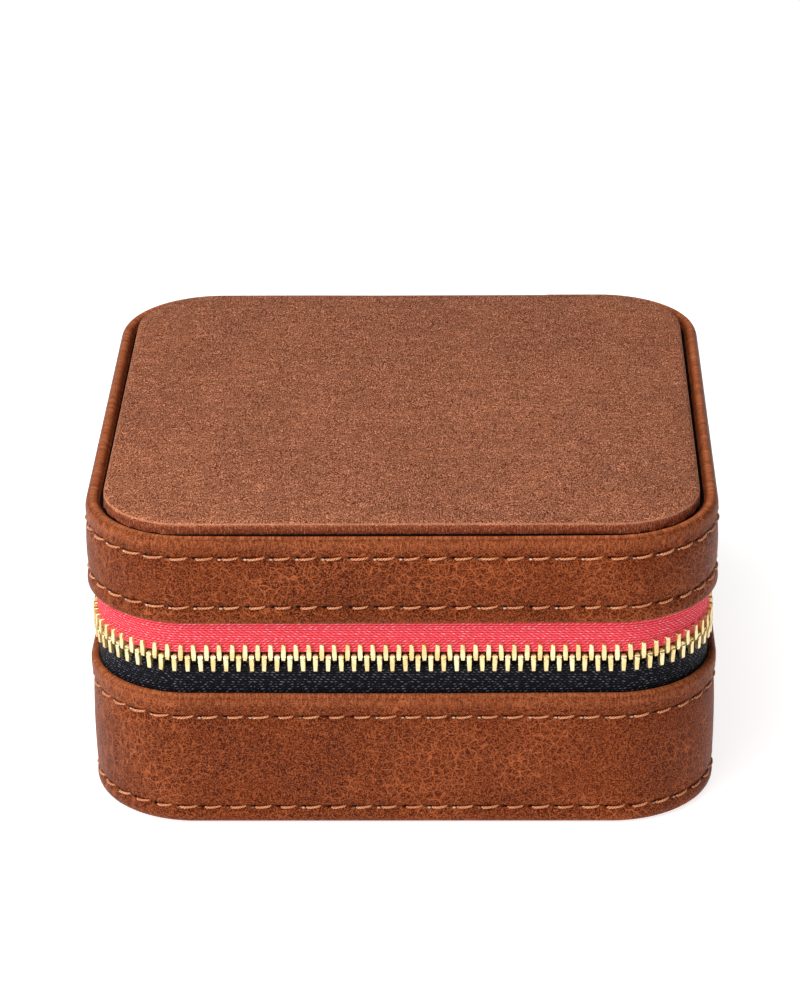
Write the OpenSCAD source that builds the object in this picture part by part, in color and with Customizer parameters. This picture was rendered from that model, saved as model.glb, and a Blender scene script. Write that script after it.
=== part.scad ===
// Zipped leather jewellery case: a shallow lid hinged on a leather spine over a deeper base.
// Millimetres. Origin at the middle of the underside, +Z up, the front faces -Y.

/* [Case] */
// Outside width, left to right
case_w = 100; // [83:1:125]
// Outside depth, front to back
case_d = 100; // [83:1:125]
// Radius of the upright corners, on the outside
corner_r = 17; // [15:0.5:21]
// Height of the base up to its leather edge
base_h = 23.1; // [22.1:0.5:34.1]
// Opening between the two leather edges, filled by the zip
zip_gap = 12.4; // [11:0.2:14]
// Height of the lid's side, from its leather edge to the deck under the rim
lid_h = 14; // [12:0.5:22]

/* [Walls] */
// Thickness of the outer leather
leather_t = 1.3; // [1:0.1:1.6]
// Thickness of the wall boards
board_t = 3.2; // [3:0.1:4]
// Thickness of the floor board and of the lid's top board
deck_t = 2; // [1.5:0.1:3]
// Thickness of the card collars that meet behind the zip
collar_t = 1.2; // [1:0.1:1.6]
// Thickness of the suede lining
lining_t = 0.6; // [0.4:0.1:0.8]
// Slit between the base's collar and the lid's
collar_slit = 0.4; // [0.3:0.1:0.6]

/* [Lid top] */
// Radius of the rolled rim
rim_r = 1.2; // [1:0.1:1.8]
// Groove between the rim and the padded panel
groove_w = 0.5; // [0.4:0.1:0.9]
// Height of the padded panel above the deck
panel_h = 2.7; // [2.5:0.1:4]
// Rounding of the panel's upper edge
panel_edge_r = 1.3; // [0.8:0.1:1.5]

/* [Spine] */
// Straight back left on each side of the leather spine, where the zip's slider parks
slider_bay = 9; // [8.5:0.5:12]
// Slit between the spine and each end of the leather bands
seam_w = 0.2; // [0.15:0.05:0.4]

/* [Stitching] */
// Distance from one stitch to the next
stitch_pitch = 4; // [3.5:0.1:5]
// Length of thread that shows in one stitch
stitch_l = 2.7; // [2.3:0.1:3]
// Thickness of the thread
thread_d = 0.5; // [0.4:0.05:0.6]
// Distance of a seam from the leather edge beside it
seam_in = 4; // [3.2:0.1:4.5]

/* [Zip] */
// Thickness of the zip tapes and of the hinge tape
tape_t = 0.6; // [0.5:0.05:0.7]
// How far the tapes run in behind the leather
tape_tuck = 7; // [6:0.5:8]
// Distance from one tooth to the next in one row
tooth_pitch = 2; // [1.9:0.05:2.4]
// Width of a tooth along the zip
tooth_w = 0.85; // [0.7:0.05:0.9]
// Thickness of a tooth through the tape
tooth_t = 2.1; // [1.9:0.1:2.3]
// Distance from the middle of the zip to the back of a tooth
tooth_back = 2.3; // [2.1:0.1:2.5]
// Distance that a tooth reaches past the middle of the zip
tooth_reach = 0.25; // [0.2:0.05:0.3]

/* [Slider] */
// Length of the slider body
slider_l = 9; // [8:0.5:10]
// Thickness of the slider's two plates
plate_t = 0.8; // [0.6:0.1:1]
// Length of the leather tab on the pull
tab_l = 14.5; // [10:0.5:15]
// Width of the leather tab on the pull
tab_w = 4.6; // [4:0.2:6]

/* [Inside] */
// Width of the bay that holds the ring rolls
ring_bay_w = 37; // [34:0.5:40]
// Height of the ring rolls above their bed
roll_h = 16; // [13:0.5:18]
// Thickness of the dividers
divider_t = 2.4; // [2:0.1:3]
// Height of the dividers above the lined floor
divider_h = 19; // [14:0.5:20]
// Share of the depth that the front compartment takes
front_share = 0.58; // [0.4:0.01:0.65]
// Lining left bare between the mirror's frame and the lid's walls
mirror_margin = 6.7; // [3:0.1:10]

/* [Hidden] */
$fn = 96;
loose = 0.3;                      // room around pieces that drop in
joined = 0.2;                     // depth that one piece of cast metal runs into the next
case_half = [case_w / 2, case_d / 2];
spine_w = 2 * (case_half[0] - corner_r - slider_bay); // leather that joins lid and base

lid_z = base_h + zip_gap;         // the lid's leather edge
deck_z = lid_z + lid_h;           // top of the lid's top board
zip_z = base_h + zip_gap / 2 - 0.05; // middle of the zip, and the hinge line

board_in = leather_t + board_t;   // inner face of the wall boards
lining_in = board_in + collar_t;  // inner face of the collars
inside_in = lining_in + lining_t; // inner face of the lining
floor_z = leather_t + deck_t;     // top of the floor board
floor_top = floor_z + lining_t;   // lined floor
ceiling_z = deck_z - deck_t;      // underside of the lid's top board

base_meet = zip_z - collar_slit / 2;
lid_meet = zip_z + collar_slit / 2;

edge_r = leather_t / 2;           // folded leather edges
flange_w = 6;                     // leather turned in under the base
bottom_t = leather_t - 0.1;
spine_sink = 0.4;                 // the spine's rim lies this much lower than the band's
panel_in = 2 * rim_r + groove_w;
panel_skin = 1.2;
foam_h = panel_h - panel_skin;

groove_depth = 0.35;              // thread sits in a pressed line
groove_h = thread_d + 0.4;
base_seam_low = seam_in - 1.05;
base_seam_high = base_h - seam_in;
lid_seam_low = lid_z + seam_in - 1.2;
lid_seam_high = deck_z + rim_r - seam_in;

chain_in = leather_t + tape_t / 2; // middle of the tapes
chain_r = corner_r - chain_in;
tape_edge = 0.85;                 // tape edge, from the middle of the zip
tape_slot = tape_t / 2 + 0.01;

slider_sag = slider_l * slider_l / 8 / chain_r; // bow of the chain inside the slider, round a corner
slider_sink = slider_sag / 2;
slider_play = 0.12;
channel_h = tooth_t / 2 + slider_sink + slider_play;
channel_w = tooth_back + 0.45;
slot_h = tape_t / 2 + slider_sink + 0.1;
slider_half = channel_h + plate_t;
slider_wide = channel_w + 1.1;
slider_tail = channel_w + 0.6;
slider_x = case_half[0] - corner_r; // parked where the straight back meets the corner
wedge_end = -1;                   // the wedge that parts the teeth ends here

crown_x = 2.7;                    // posts of the crown
post_r = 0.6;
link_t = 0.8;
link_gap = 0.8;
link_y = slider_half + link_gap + link_t / 2;
crown_y = link_y + link_t / 2 + 0.4;
crown_t = 0.7;
eye_r = 1.7;
eye_bore = 0.9;
bar_z = -7.6;                     // bar that the leather tab hangs on
bar_h = 0.8;
bar_bore = 0.62;
tab_t = 0.58;

stop_l = 1.8;                     // metal stops at the ends of the zip
stop_at = spine_w / 2 + 1.4;
first_tooth = slider_x + wedge_end + tooth_w / 2 + 0.3;

bay_left = -case_half[0] + inside_in;
bay_front = -case_half[1] + inside_in;
inner_d = case_d - 2 * inside_in;
divider_x = bay_left + ring_bay_w;
cross_y = bay_front + inner_d * front_share;
bed_t = 2;
roll_count = 3;
roll_gap = 0.7;
roll_pitch = (ring_bay_w - 2 * loose) / roll_count;
roll_w = roll_pitch - roll_gap;
mirror_t = 1.5;
frame_w = 7;
mirror_side = min(case_w, case_d) - 2 * (inside_in + mirror_margin + frame_w);
frame_t = 2;

leather = "#9a4e2b";
navy = "#1b1c2b";
coral = "#e8454f";
brass = "#e3c574";
thread = "#c98352";
card = "#b9a27c";

// ---- Outlines -------------------------------------------------------------

// Outline of the case, moved in by inset on every side
module outline(inset) {
    w = case_w - 2 * inset;
    d = case_d - 2 * inset;
    r = max(corner_r - inset, 0.5);
    square([w - 2 * r, d], center = true);
    square([w, d - 2 * r], center = true);
    for (x = [-1, 1], y = [-1, 1])
        translate([x * (w / 2 - r), y * (d / 2 - r)]) circle(r);
}

module plate(inset, z0, z1) {
    translate([0, 0, z0]) linear_extrude(z1 - z0) outline(inset);
}

// Upright wall from inset a to inset b
module wall(a, b, z0, z1) {
    translate([0, 0, z0]) linear_extrude(z1 - z0) difference() {
        outline(a);
        outline(b);
    }
}

// Sweeps a section round the case. In the section x is the inset and y the height.
module swept() {
    for (k = [0:3]) rotate([0, 0, 90 * k])
        translate([case_half[k % 2] - corner_r, case_half[(k + 1) % 2] - corner_r, 0]) {
            rotate([90, 0, 0]) linear_extrude(2 * (case_half[(k + 1) % 2] - corner_r))
                translate([corner_r, 0]) mirror([1, 0, 0]) children();
            rotate_extrude(angle = 90)
                translate([corner_r, 0]) mirror([1, 0, 0]) children();
        }
}

// The part of the back that the spine fills, over the depth given
module back_bay(width, depth) {
    translate([-width / 2, case_half[1] - depth, -1])
        cube([width, depth + 1, deck_z + 10]);
}

// ---- Places round the case ------------------------------------------------

// Lengths of the nine stretches round the case, from the middle of the back towards +X
function stretches(r) = let (q = PI / 2 * r, a = case_half[0] - corner_r, b = 2 * (case_half[1] - corner_r))
    [a, q, b, q, 2 * a, q, b, q, a];
function sum_to(list, k) = k <= 0 ? 0 : list[k - 1] + sum_to(list, k - 1);
function perimeter(inset) = sum_to(stretches(corner_r - inset), 9);
function stretch_of(s, list, k = 0) = (k == 8 || s < sum_to(list, k + 1)) ? k : stretch_of(s, list, k + 1);

// Point and heading at distance s along the outline at inset: [x, y, angle of the outward normal]
function place(s, inset) =
    let (r = corner_r - inset, list = stretches(r), k = stretch_of(s, list),
         along = s - sum_to(list, k), cx = case_half[0] - corner_r, cy = case_half[1] - corner_r,
         corner = [[0, 0], [cx, cy], [0, 0], [cx, -cy], [0, 0], [-cx, -cy], [0, 0], [-cx, cy], [0, 0]][k],
         turn = 90 - 90 * floor(k / 2) - (k % 2 == 1 ? along / r * 180 / PI : 0))
    k % 2 == 1 ? [corner[0] + r * cos(turn), corner[1] + r * sin(turn), turn]
    : k == 0 ? [along, cy + r, 90]
    : k == 2 ? [cx + r, cy - along, 0]
    : k == 4 ? [cx - along, -cy - r, -90]
    : k == 6 ? [-cx - r, -cy + along, -180]
    : [-cx + along, cy + r, -270];

// Puts the children at each distance in list: x runs along the outline, y points outwards
module placed(list, inset, z) {
    for (s = list) {
        p = place(s, inset);
        translate([p[0], p[1], z]) rotate([0, 0, p[2] - 90]) children();
    }
}

// Even steps between two distances
function steps(from, to, pitch) = let (n = floor((to - from) / pitch)) [for (i = [0:n]) from + i * pitch];

// ---- Leather shell --------------------------------------------------------

module stitch_groove(z) {
    translate([-1, z - groove_h / 2]) square([1 + groove_depth, groove_h]);
}

module base_leather_section() {
    difference() {
        union() {
            translate([0, leather_t]) square([leather_t, base_h - leather_t - edge_r]);
            translate([edge_r, base_h - edge_r]) circle(edge_r);
            intersection() {
                translate([leather_t, leather_t]) circle(leather_t);
                square(leather_t);
            }
            translate([leather_t, 0]) square([flange_w - leather_t, bottom_t]);
        }
        stitch_groove(base_seam_low);
        stitch_groove(base_seam_high);
    }
}

// Rolled rim, sunk into the deck by sink
module rim_section(sink) {
    intersection() {
        translate([rim_r, deck_z - sink]) circle(rim_r);
        translate([0, deck_z]) square([2 * rim_r, rim_r]);
    }
}

module lid_leather_section() {
    difference() {
        union() {
            translate([0, lid_z + edge_r]) square([leather_t, deck_z - lid_z - edge_r]);
            translate([edge_r, lid_z + edge_r]) circle(edge_r);
            rim_section(0);
        }
        stitch_groove(lid_seam_low);
        stitch_groove(lid_seam_high);
    }
}

// One strip of leather from under the base, over the gap, to the lid's rim
module spine_section() {
    translate([0, leather_t]) square([leather_t, deck_z - leather_t]);
    intersection() {
        translate([leather_t, leather_t]) circle(leather_t);
        square(leather_t);
    }
    translate([leather_t, 0]) square([flange_w - leather_t, bottom_t]);
    rim_section(spine_sink);
}

module base_band() {
    color(leather) difference() {
        swept() base_leather_section();
        back_bay(spine_w + 2 * seam_w, flange_w + 1);
        translate([0, case_half[1], 0]) hinge_grooves(leather_t, base_h);
    }
}

module lid_band() {
    color(leather) difference() {
        swept() lid_leather_section();
        back_bay(spine_w + 2 * seam_w, 2 * rim_r + 0.5);
        translate([0, case_half[1], 0]) hinge_grooves(lid_z, deck_z);
    }
}

module hinge_spine() {
    color(leather) intersection() {
        swept() spine_section();
        back_bay(spine_w, flange_w + 0.5);
    }
}

module base_bottom_panel() { color(leather) plate(flange_w + 0.2, 0, bottom_t); }

module lid_top_panel() {
    color(leather) difference() {
        union() {
            plate(panel_in + panel_edge_r, deck_z, deck_z + panel_h);
            wall(panel_in, panel_in + panel_edge_r, deck_z, deck_z + panel_h - panel_edge_r);
            swept() translate([panel_in + panel_edge_r, deck_z + panel_h - panel_edge_r])
                intersection() {
                    circle(panel_edge_r);
                    translate([-panel_edge_r, 0]) square(panel_edge_r);
                }
        }
        plate(panel_in + panel_skin, deck_z - 1, deck_z + foam_h);
    }
}

module lid_pad_foam() { color("#d9d2c4") plate(panel_in + panel_skin, deck_z, deck_z + foam_h); }

// ---- Stitching ------------------------------------------------------------

// One stitch, lying along x in its groove, with the outer face of the leather at y = 0
module stitch(length) {
    translate([-length / 2, -groove_depth, 0]) rotate([0, 90, 0])
        translate([0, thread_d / 2, 0]) cylinder(d = thread_d, h = length, $fn = 16);
}

module seam(z) {
    reach = spine_w / 2 + 3.5;
    color(thread) placed(steps(reach, perimeter(0) - reach, stitch_pitch), 0, z) stitch(stitch_l);
}

// Upright seams that sew the ends of the bands to the spine, in the band at each side
hinge_seam_x = spine_w / 2 + 1.9;
module hinge_grooves(z0, z1) {
    for (x = [-1, 1]) translate([x * hinge_seam_x - groove_h / 2, -groove_depth, z0 - 1])
        cube([groove_h, groove_depth + 1, z1 - z0 + 4]);
}
module hinge_seam(z0, z1) {
    count = floor((z1 - z0 - stitch_l) / stitch_pitch);
    start = (z0 + z1 - count * stitch_pitch) / 2;
    color(thread) for (x = [-1, 1], i = [0:count])
        translate([x * hinge_seam_x, case_half[1], start + i * stitch_pitch])
            rotate([0, 90, 0]) stitch(stitch_l);
}

module base_stitching_low() { seam(base_seam_low); }
module base_stitching_high() { seam(base_seam_high); }
module lid_stitching_low() { seam(lid_seam_low); }
module lid_stitching_high() { seam(lid_seam_high); }
module hinge_stitching_base() { hinge_seam(leather_t + 0.3, base_h - 0.6); }
module hinge_stitching_lid() { hinge_seam(lid_z + 0.6, deck_z + 0.2); }

// ---- Boards, collars and lining -------------------------------------------

module base_floor_board() { color(card) plate(leather_t, leather_t, floor_z); }

module base_wall_board() {
    color(card) difference() {
        wall(leather_t, board_in, floor_z, base_h);
        wall(leather_t - 1, leather_t + tape_t, base_h - tape_tuck, base_h + 1);
    }
}

module base_collar() { color(card) wall(board_in, lining_in, floor_z, base_meet - lining_t); }

module base_wall_lining() {
    color(navy) union() {
        wall(lining_in, inside_in, floor_z, base_meet);
        wall(board_in, lining_in, base_meet - lining_t, base_meet);
    }
}

module base_floor_lining() { color(navy) plate(inside_in, floor_z, floor_top); }

module lid_top_board() { color(card) plate(leather_t, ceiling_z, deck_z); }

module lid_wall_board() {
    color(card) difference() {
        wall(leather_t, board_in, lid_z, ceiling_z);
        wall(leather_t - 1, leather_t + tape_t, lid_z - 1, lid_z + tape_tuck);
    }
}

// Round the back the lid's collar and lining stop at the leather edge, so that the lid can fold
module back_fold() {
    translate([-case_w, case_half[1] - corner_r, base_h])
        cube([2 * case_w, case_d, zip_gap]);
}

module lid_collar() {
    color(card) difference() {
        wall(board_in, lining_in, lid_meet + lining_t, ceiling_z);
        back_fold();
    }
}

module lid_wall_lining() {
    color(coral) difference() {
        union() {
            wall(lining_in, inside_in, lid_meet, ceiling_z);
            wall(board_in, lining_in, lid_meet, lid_meet + lining_t);
        }
        back_fold();
    }
}

module lid_ceiling_lining() { color(coral) plate(inside_in, ceiling_z - lining_t, ceiling_z); }

// ---- Mirror ---------------------------------------------------------------

module soft_square(side, r) {
    square([side - 2 * r, side], center = true);
    square([side, side - 2 * r], center = true);
    for (x = [-1, 1], y = [-1, 1]) translate([x, y] * (side / 2 - r)) circle(r);
}

mirror_top = ceiling_z - lining_t;
module mirror_frame() {
    color(leather) difference() {
        translate([0, 0, mirror_top - frame_t]) linear_extrude(frame_t)
            soft_square(mirror_side + 2 * frame_w, 9);
        translate([0, 0, mirror_top - mirror_t]) linear_extrude(mirror_t + 1)
            soft_square(mirror_side, 4);
        translate([0, 0, mirror_top - frame_t - 1]) linear_extrude(frame_t + 1)
            soft_square(mirror_side - 3, 3);
    }
}
module mirror_glass() {
    color("#dfe8ec") translate([0, 0, mirror_top - mirror_t]) linear_extrude(mirror_t)
        soft_square(mirror_side, 4);
}

// ---- Ring rolls and dividers ----------------------------------------------

// Keeps a piece inside the lined hollow, clear of its rounded corners
module in_hollow() {
    intersection() {
        children();
        plate(inside_in + loose, floor_z, base_meet);
    }
}

module ring_bed() {
    color(navy) in_hollow()
        translate([bay_left, bay_front, floor_top]) cube([ring_bay_w - loose, inner_d, bed_t]);
}

module ring_roll(i) {
    x = bay_left + loose + roll_pitch * (i + 0.5);
    z = floor_top + bed_t;
    color(navy) in_hollow() {
        translate([x, 0, z + roll_h - roll_w / 2]) rotate([90, 0, 0])
            cylinder(d = roll_w, h = inner_d, center = true);
        translate([x - roll_w / 2, -inner_d / 2, z]) cube([roll_w, inner_d, roll_h - roll_w / 2]);
    }
}

module ring_roll_1() { ring_roll(0); }
module ring_roll_2() { ring_roll(1); }
module ring_roll_3() { ring_roll(2); }

module long_divider() {
    color(navy) in_hollow()
        translate([divider_x, bay_front, floor_top]) cube([divider_t, inner_d, divider_h]);
}

module cross_divider() {
    x = divider_x + divider_t + 0.1;
    color(navy) in_hollow()
        translate([x, cross_y, floor_top]) cube([-bay_left - x, divider_t, divider_h - 2]);
}

// ---- Zip ------------------------------------------------------------------

module tape(z0, z1) {
    difference() {
        wall(leather_t, leather_t + tape_t, z0, z1);
        back_bay(spine_w + 2 * seam_w, leather_t + tape_t + 0.5);
    }
}

module zip_tape_lower() { color(navy) tape(base_h - tape_tuck, zip_z - tape_edge); }
module zip_tape_upper() { color(coral) tape(zip_z + tape_edge, lid_z + tape_tuck); }

module hinge_tape() {
    color(navy) intersection() {
        wall(leather_t, leather_t + tape_t, base_h - tape_tuck, lid_z + tape_tuck);
        back_bay(spine_w, leather_t + tape_t + 0.5);
    }
}

// A clip on the tape above it: z runs from the middle of the zip towards the tape
module clip(width, from) {
    difference() {
        translate([-width / 2, -tooth_t / 2, from]) cube([width, tooth_t, tooth_back - from]);
        translate([-width, -tape_slot, tape_edge]) cube([2 * width, 2 * tape_slot, tooth_back]);
    }
}

last_tooth = perimeter(chain_in) - stop_at - stop_l;
module tooth_row(offset) {
    color(brass) placed(steps(first_tooth + offset, last_tooth - offset, tooth_pitch), chain_in, zip_z)
        children();
}
module zip_teeth_upper() { tooth_row(0) clip(tooth_w, -tooth_reach); }
module zip_teeth_lower() { tooth_row(tooth_pitch / 2) mirror([0, 0, 1]) clip(tooth_w, -tooth_reach); }

module zip_stop_closed_upper() { color(brass) placed([stop_at], chain_in, zip_z) clip(stop_l, 0.15); }
module zip_stop_closed_lower() {
    color(brass) placed([stop_at], chain_in, zip_z) mirror([0, 0, 1]) clip(stop_l, 0.15);
}
module zip_stop_open() {
    color(brass) placed([perimeter(chain_in) - stop_at], chain_in, zip_z) union() {
        clip(stop_l, 0);
        mirror([0, 0, 1]) clip(stop_l, 0);
    }
}

// ---- Slider and pull ------------------------------------------------------

// Slider frame: x along the zip, y outwards, z up, at the parked place on the back
module at_slider() {
    translate([slider_x, case_half[1] - chain_in - slider_sink, zip_z]) children();
}

// Extrudes an x-z outline from y = a to y = b
module across(a, b) {
    translate([0, b, 0]) rotate([90, 0, 0]) linear_extrude(b - a) children();
}

module slider_outline() {
    end = slider_l / 2;
    polygon([
        [-end, -slider_wide + 0.6], [-end + 1.2, -slider_wide], [0.5, -slider_wide], [end, -slider_tail],
        [end, slider_tail], [0.5, slider_wide], [-end + 1.2, slider_wide], [-end, slider_wide - 0.6]
    ]);
}

module slider_body() {
    beam = crown_x + post_r;
    color(brass) at_slider() union() {
        difference() {
            across(-slider_half, slider_half) slider_outline();
            translate([-slider_l, -channel_h, -channel_w]) cube([2 * slider_l, 2 * channel_h, 2 * channel_w]);
            translate([-slider_l, -slot_h, -2 * slider_wide]) cube([2 * slider_l, 2 * slot_h, 4 * slider_wide]);
        }
        across(-channel_h - joined, channel_h + joined) polygon([
            [-slider_l / 2 + 0.3, -0.9], [wedge_end, -0.2], [wedge_end, 0.2], [-slider_l / 2 + 0.3, 0.9]
        ]);
        for (x = [-1, 1]) translate([x * crown_x, slider_half - joined, 0]) rotate([-90, 0, 0])
            cylinder(r = post_r, h = crown_y - slider_half + 2 * joined);
        translate([-beam, crown_y, -0.8]) cube([2 * beam, crown_t, 1.6]);
    }
}

// Brass link: an eye round one post of the crown, and a slot at its foot for the leather tab
module pull_link() {
    foot = tab_w / 2 + 1.1;
    neck = eye_r - 0.4;
    top = bar_z + bar_h / 2 + 1.7;
    low = bar_z - bar_h / 2;
    a = link_y - link_t / 2;
    b = link_y + link_t / 2;
    color(brass) at_slider() translate([-crown_x, 0, 0]) difference() {
        union() {
            across(a, b) circle(eye_r);
            across(a, b) polygon([
                [-neck, 0], [neck, 0], [neck, -2], [foot, top + 1], [foot, low],
                [-foot, low], [-foot, top + 1], [-neck, -2]
            ]);
        }
        across(a - 1, b + 1) circle(eye_bore);
        across(a - 1, b + 1) translate([-foot + 0.85, bar_z + bar_h / 2]) square([2 * foot - 1.7, 1.7]);
    }
}

// Leather strip folded round the link's bar
module tab_section() {
    loop_r = bar_bore + tab_t;
    difference() {
        union() {
            circle(loop_r);
            translate([-tab_t - 0.05, -tab_l]) square([2 * tab_t + 0.1, tab_l - bar_bore]);
        }
        circle(bar_bore);
    }
}

module pull_tab() {
    color(leather) at_slider() translate([-crown_x - tab_w / 2, link_y, bar_z])
        rotate([90, 0, 90]) linear_extrude(tab_w) tab_section();
}

// ---- Assembly -------------------------------------------------------------

base_band();
base_bottom_panel();
base_floor_board();
base_wall_board();
base_collar();
base_wall_lining();
base_floor_lining();
base_stitching_low();
base_stitching_high();
ring_bed();
ring_roll_1();
ring_roll_2();
ring_roll_3();
long_divider();
cross_divider();
zip_tape_lower();
zip_teeth_lower();
zip_stop_closed_lower();
zip_stop_open();
hinge_spine();
hinge_tape();
hinge_stitching_base();
hinge_stitching_lid();
lid_band();
lid_wall_board();
lid_top_board();
lid_collar();
lid_wall_lining();
lid_ceiling_lining();
lid_top_panel();
lid_pad_foam();
lid_stitching_low();
lid_stitching_high();
mirror_frame();
mirror_glass();
zip_tape_upper();
zip_teeth_upper();
zip_stop_closed_upper();
slider_body();
pull_link();
pull_tab();
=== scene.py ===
import bpy
import math
import random
import numpy as np
from mathutils import Matrix, Vector


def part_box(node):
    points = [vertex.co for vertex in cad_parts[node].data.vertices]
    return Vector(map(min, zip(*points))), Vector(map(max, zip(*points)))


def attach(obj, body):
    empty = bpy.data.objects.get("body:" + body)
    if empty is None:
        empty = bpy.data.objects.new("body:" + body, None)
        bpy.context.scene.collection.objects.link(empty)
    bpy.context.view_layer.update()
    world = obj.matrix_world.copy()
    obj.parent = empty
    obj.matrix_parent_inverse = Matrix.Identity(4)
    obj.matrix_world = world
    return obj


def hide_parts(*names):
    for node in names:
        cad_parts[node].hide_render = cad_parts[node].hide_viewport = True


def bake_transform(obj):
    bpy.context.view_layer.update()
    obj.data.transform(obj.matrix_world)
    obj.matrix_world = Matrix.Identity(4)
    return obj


# Leather jewellery case, closed, with its zip done up.
# Sizes below are in millimetres and mm turns them into metres.
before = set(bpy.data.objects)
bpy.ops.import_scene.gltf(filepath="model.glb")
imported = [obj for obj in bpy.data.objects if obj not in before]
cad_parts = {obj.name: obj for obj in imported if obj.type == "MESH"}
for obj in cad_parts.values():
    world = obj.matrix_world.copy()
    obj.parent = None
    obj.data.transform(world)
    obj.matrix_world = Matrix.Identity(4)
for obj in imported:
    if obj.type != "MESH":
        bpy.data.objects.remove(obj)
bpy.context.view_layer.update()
mm = 0.001
print("frame loaded:", len(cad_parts), "pieces")


def boxMm(node):
    low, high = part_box(node)
    return low / mm, high / mm


# ---- camera, floor and lights

camera = {"target": (0, 0, 27), "distance": 640.4, "pitch": 25.5, "yaw": 1.32, "roll": -0.68,
          "lens": 137.4, "shiftX": -0.0068, "shiftY": 0.0352}


def setCamera():
    pitch, yaw = math.radians(camera["pitch"]), math.radians(camera["yaw"])
    back = Vector((math.sin(yaw) * math.cos(pitch), -math.cos(yaw) * math.cos(pitch), math.sin(pitch)))
    right = Vector((math.cos(yaw), math.sin(yaw), 0))
    turn = Matrix((right, back.cross(right), back)).transposed().to_4x4()
    turn = turn @ Matrix.Rotation(math.radians(camera["roll"]), 4, "Z")
    place = (Vector(camera["target"]) + back * camera["distance"]) * mm
    bpy.ops.object.camera_add()
    piece = bpy.context.active_object
    piece.name = "camera"
    piece.matrix_world = Matrix.Translation(place) @ turn
    piece.data.lens = camera["lens"]
    piece.data.shift_x, piece.data.shift_y = camera["shiftX"], camera["shiftY"]
    piece.data.clip_start, piece.data.clip_end = 0.01, 20
    bpy.context.scene.camera = piece


lights = [
    {"name": "backSoftbox", "place": (-180, -190, 600), "size": 480, "power": 3.3},
    {"name": "keyLight", "place": (-500, -500, 440), "size": 260, "power": 2.3},
    {"name": "fillLight", "place": (560, -420, 300), "size": 400, "power": 0.02},
]
roomWhite = 0.15


def setLights():
    for light in lights:
        bpy.ops.object.light_add(type="AREA", location=Vector(light["place"]) * mm)
        lamp = bpy.context.active_object
        lamp.name = light["name"]
        lamp.data.size = light["size"] * mm
        lamp.data.energy = light["power"]
        lamp.rotation_euler = (Vector((0, 0, 25)) - Vector(light["place"])).to_track_quat("-Z", "Y").to_euler()
    world = bpy.data.worlds.new("paleRoom")
    world.use_nodes = True
    world.node_tree.nodes["Background"].inputs["Color"].default_value = (1, 1, 1, 1)
    world.node_tree.nodes["Background"].inputs["Strength"].default_value = roomWhite
    bpy.context.scene.world = world
    bpy.context.scene.view_settings.view_transform = "Standard"


# ---- small helpers

def start():
    if bpy.context.mode != "OBJECT":
        bpy.ops.object.mode_set(mode="OBJECT")
    bpy.ops.object.select_all(action="DESELECT")


def named(name):
    piece = bpy.context.active_object
    piece.name = name
    piece.data.name = name
    return piece


def choose(piece):
    start()
    piece.select_set(True)
    bpy.context.view_layer.objects.active = piece


def edit(piece):
    choose(piece)
    bpy.ops.object.mode_set(mode="EDIT")


def pickAll():
    bpy.ops.mesh.select_all(action="SELECT")


def pick(piece, kind, test):
    # in edit mode, selects the vertices, edges or faces of a piece that pass the test
    bpy.ops.mesh.select_mode(type=kind)
    bpy.ops.mesh.select_all(action="DESELECT")
    bpy.ops.object.mode_set(mode="OBJECT")
    mesh = piece.data
    places = [vertex.co / mm for vertex in mesh.vertices]
    if kind == "VERT":
        for vertex, place in zip(mesh.vertices, places):
            vertex.select = test(place)
    if kind == "EDGE":
        for edge in mesh.edges:
            a, b = (places[i] for i in edge.vertices)
            edge.select = test((a + b) / 2, (b - a).normalized())
    if kind == "FACE":
        for face in mesh.polygons:
            face.select = test(face.center / mm, face.normal)
    bpy.ops.object.mode_set(mode="EDIT")


def cubeBetween(name, low, high):
    start()
    low, high = Vector(low) * mm, Vector(high) * mm
    bpy.ops.mesh.primitive_cube_add(size=1, location=(low + high) / 2, scale=high - low)
    piece = named(name)
    bpy.ops.object.transform_apply(location=True, rotation=True, scale=True)
    return piece


def bevelled(piece, width, segments, test=None):
    edit(piece)
    if test:
        pick(piece, "EDGE", test)
    else:
        pickAll()
    bpy.ops.mesh.bevel(offset=width * mm, segments=segments, affect="EDGES", profile=0.5)
    start()
    return piece


def smoothed(piece, angle=40):
    choose(piece)
    bpy.ops.object.shade_smooth_by_angle(angle=math.radians(angle))
    piece.select_set(False)
    return piece


def points(piece):
    co = np.zeros(len(piece.data.vertices) * 3)
    piece.data.vertices.foreach_get("co", co)
    return co.reshape(-1, 3) / mm


def movePoints(piece, co):
    piece.data.vertices.foreach_set("co", (np.asarray(co) * mm).ravel())
    piece.data.update()


def joined(pieces, name):
    start()
    for piece in pieces:
        piece.select_set(True)
    bpy.context.view_layer.objects.active = pieces[0]
    bpy.ops.object.join()
    return named(name)


def copied(piece, place):
    # a copy with its own mesh, carried to its place inside the mesh
    twin = piece.copy()
    twin.data = piece.data.copy()
    twin.data.transform(place)
    bpy.context.scene.collection.objects.link(twin)
    return twin


def applied(piece, kind, **settings):
    choose(piece)
    modifier = piece.modifiers.new(kind.lower(), kind)
    for key, value in settings.items():
        setattr(modifier, key, value)
    bpy.ops.object.modifier_apply(modifier=modifier.name)
    piece.select_set(False)
    return piece


def facedOut(piece):
    edit(piece)
    pickAll()
    bpy.ops.mesh.normals_make_consistent(inside=False)
    start()
    return piece


def closed(piece):
    # joins the seam of a rolled-up grid, fills its open ends and turns all faces outwards
    edit(piece)
    pickAll()
    bpy.ops.mesh.remove_doubles(threshold=0.002 * mm)
    pickAll()
    bpy.ops.mesh.fill_holes(sides=0)
    return facedOut(piece)


def dress(piece, material):
    piece.data.materials.clear()
    piece.data.materials.append(material)


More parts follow.
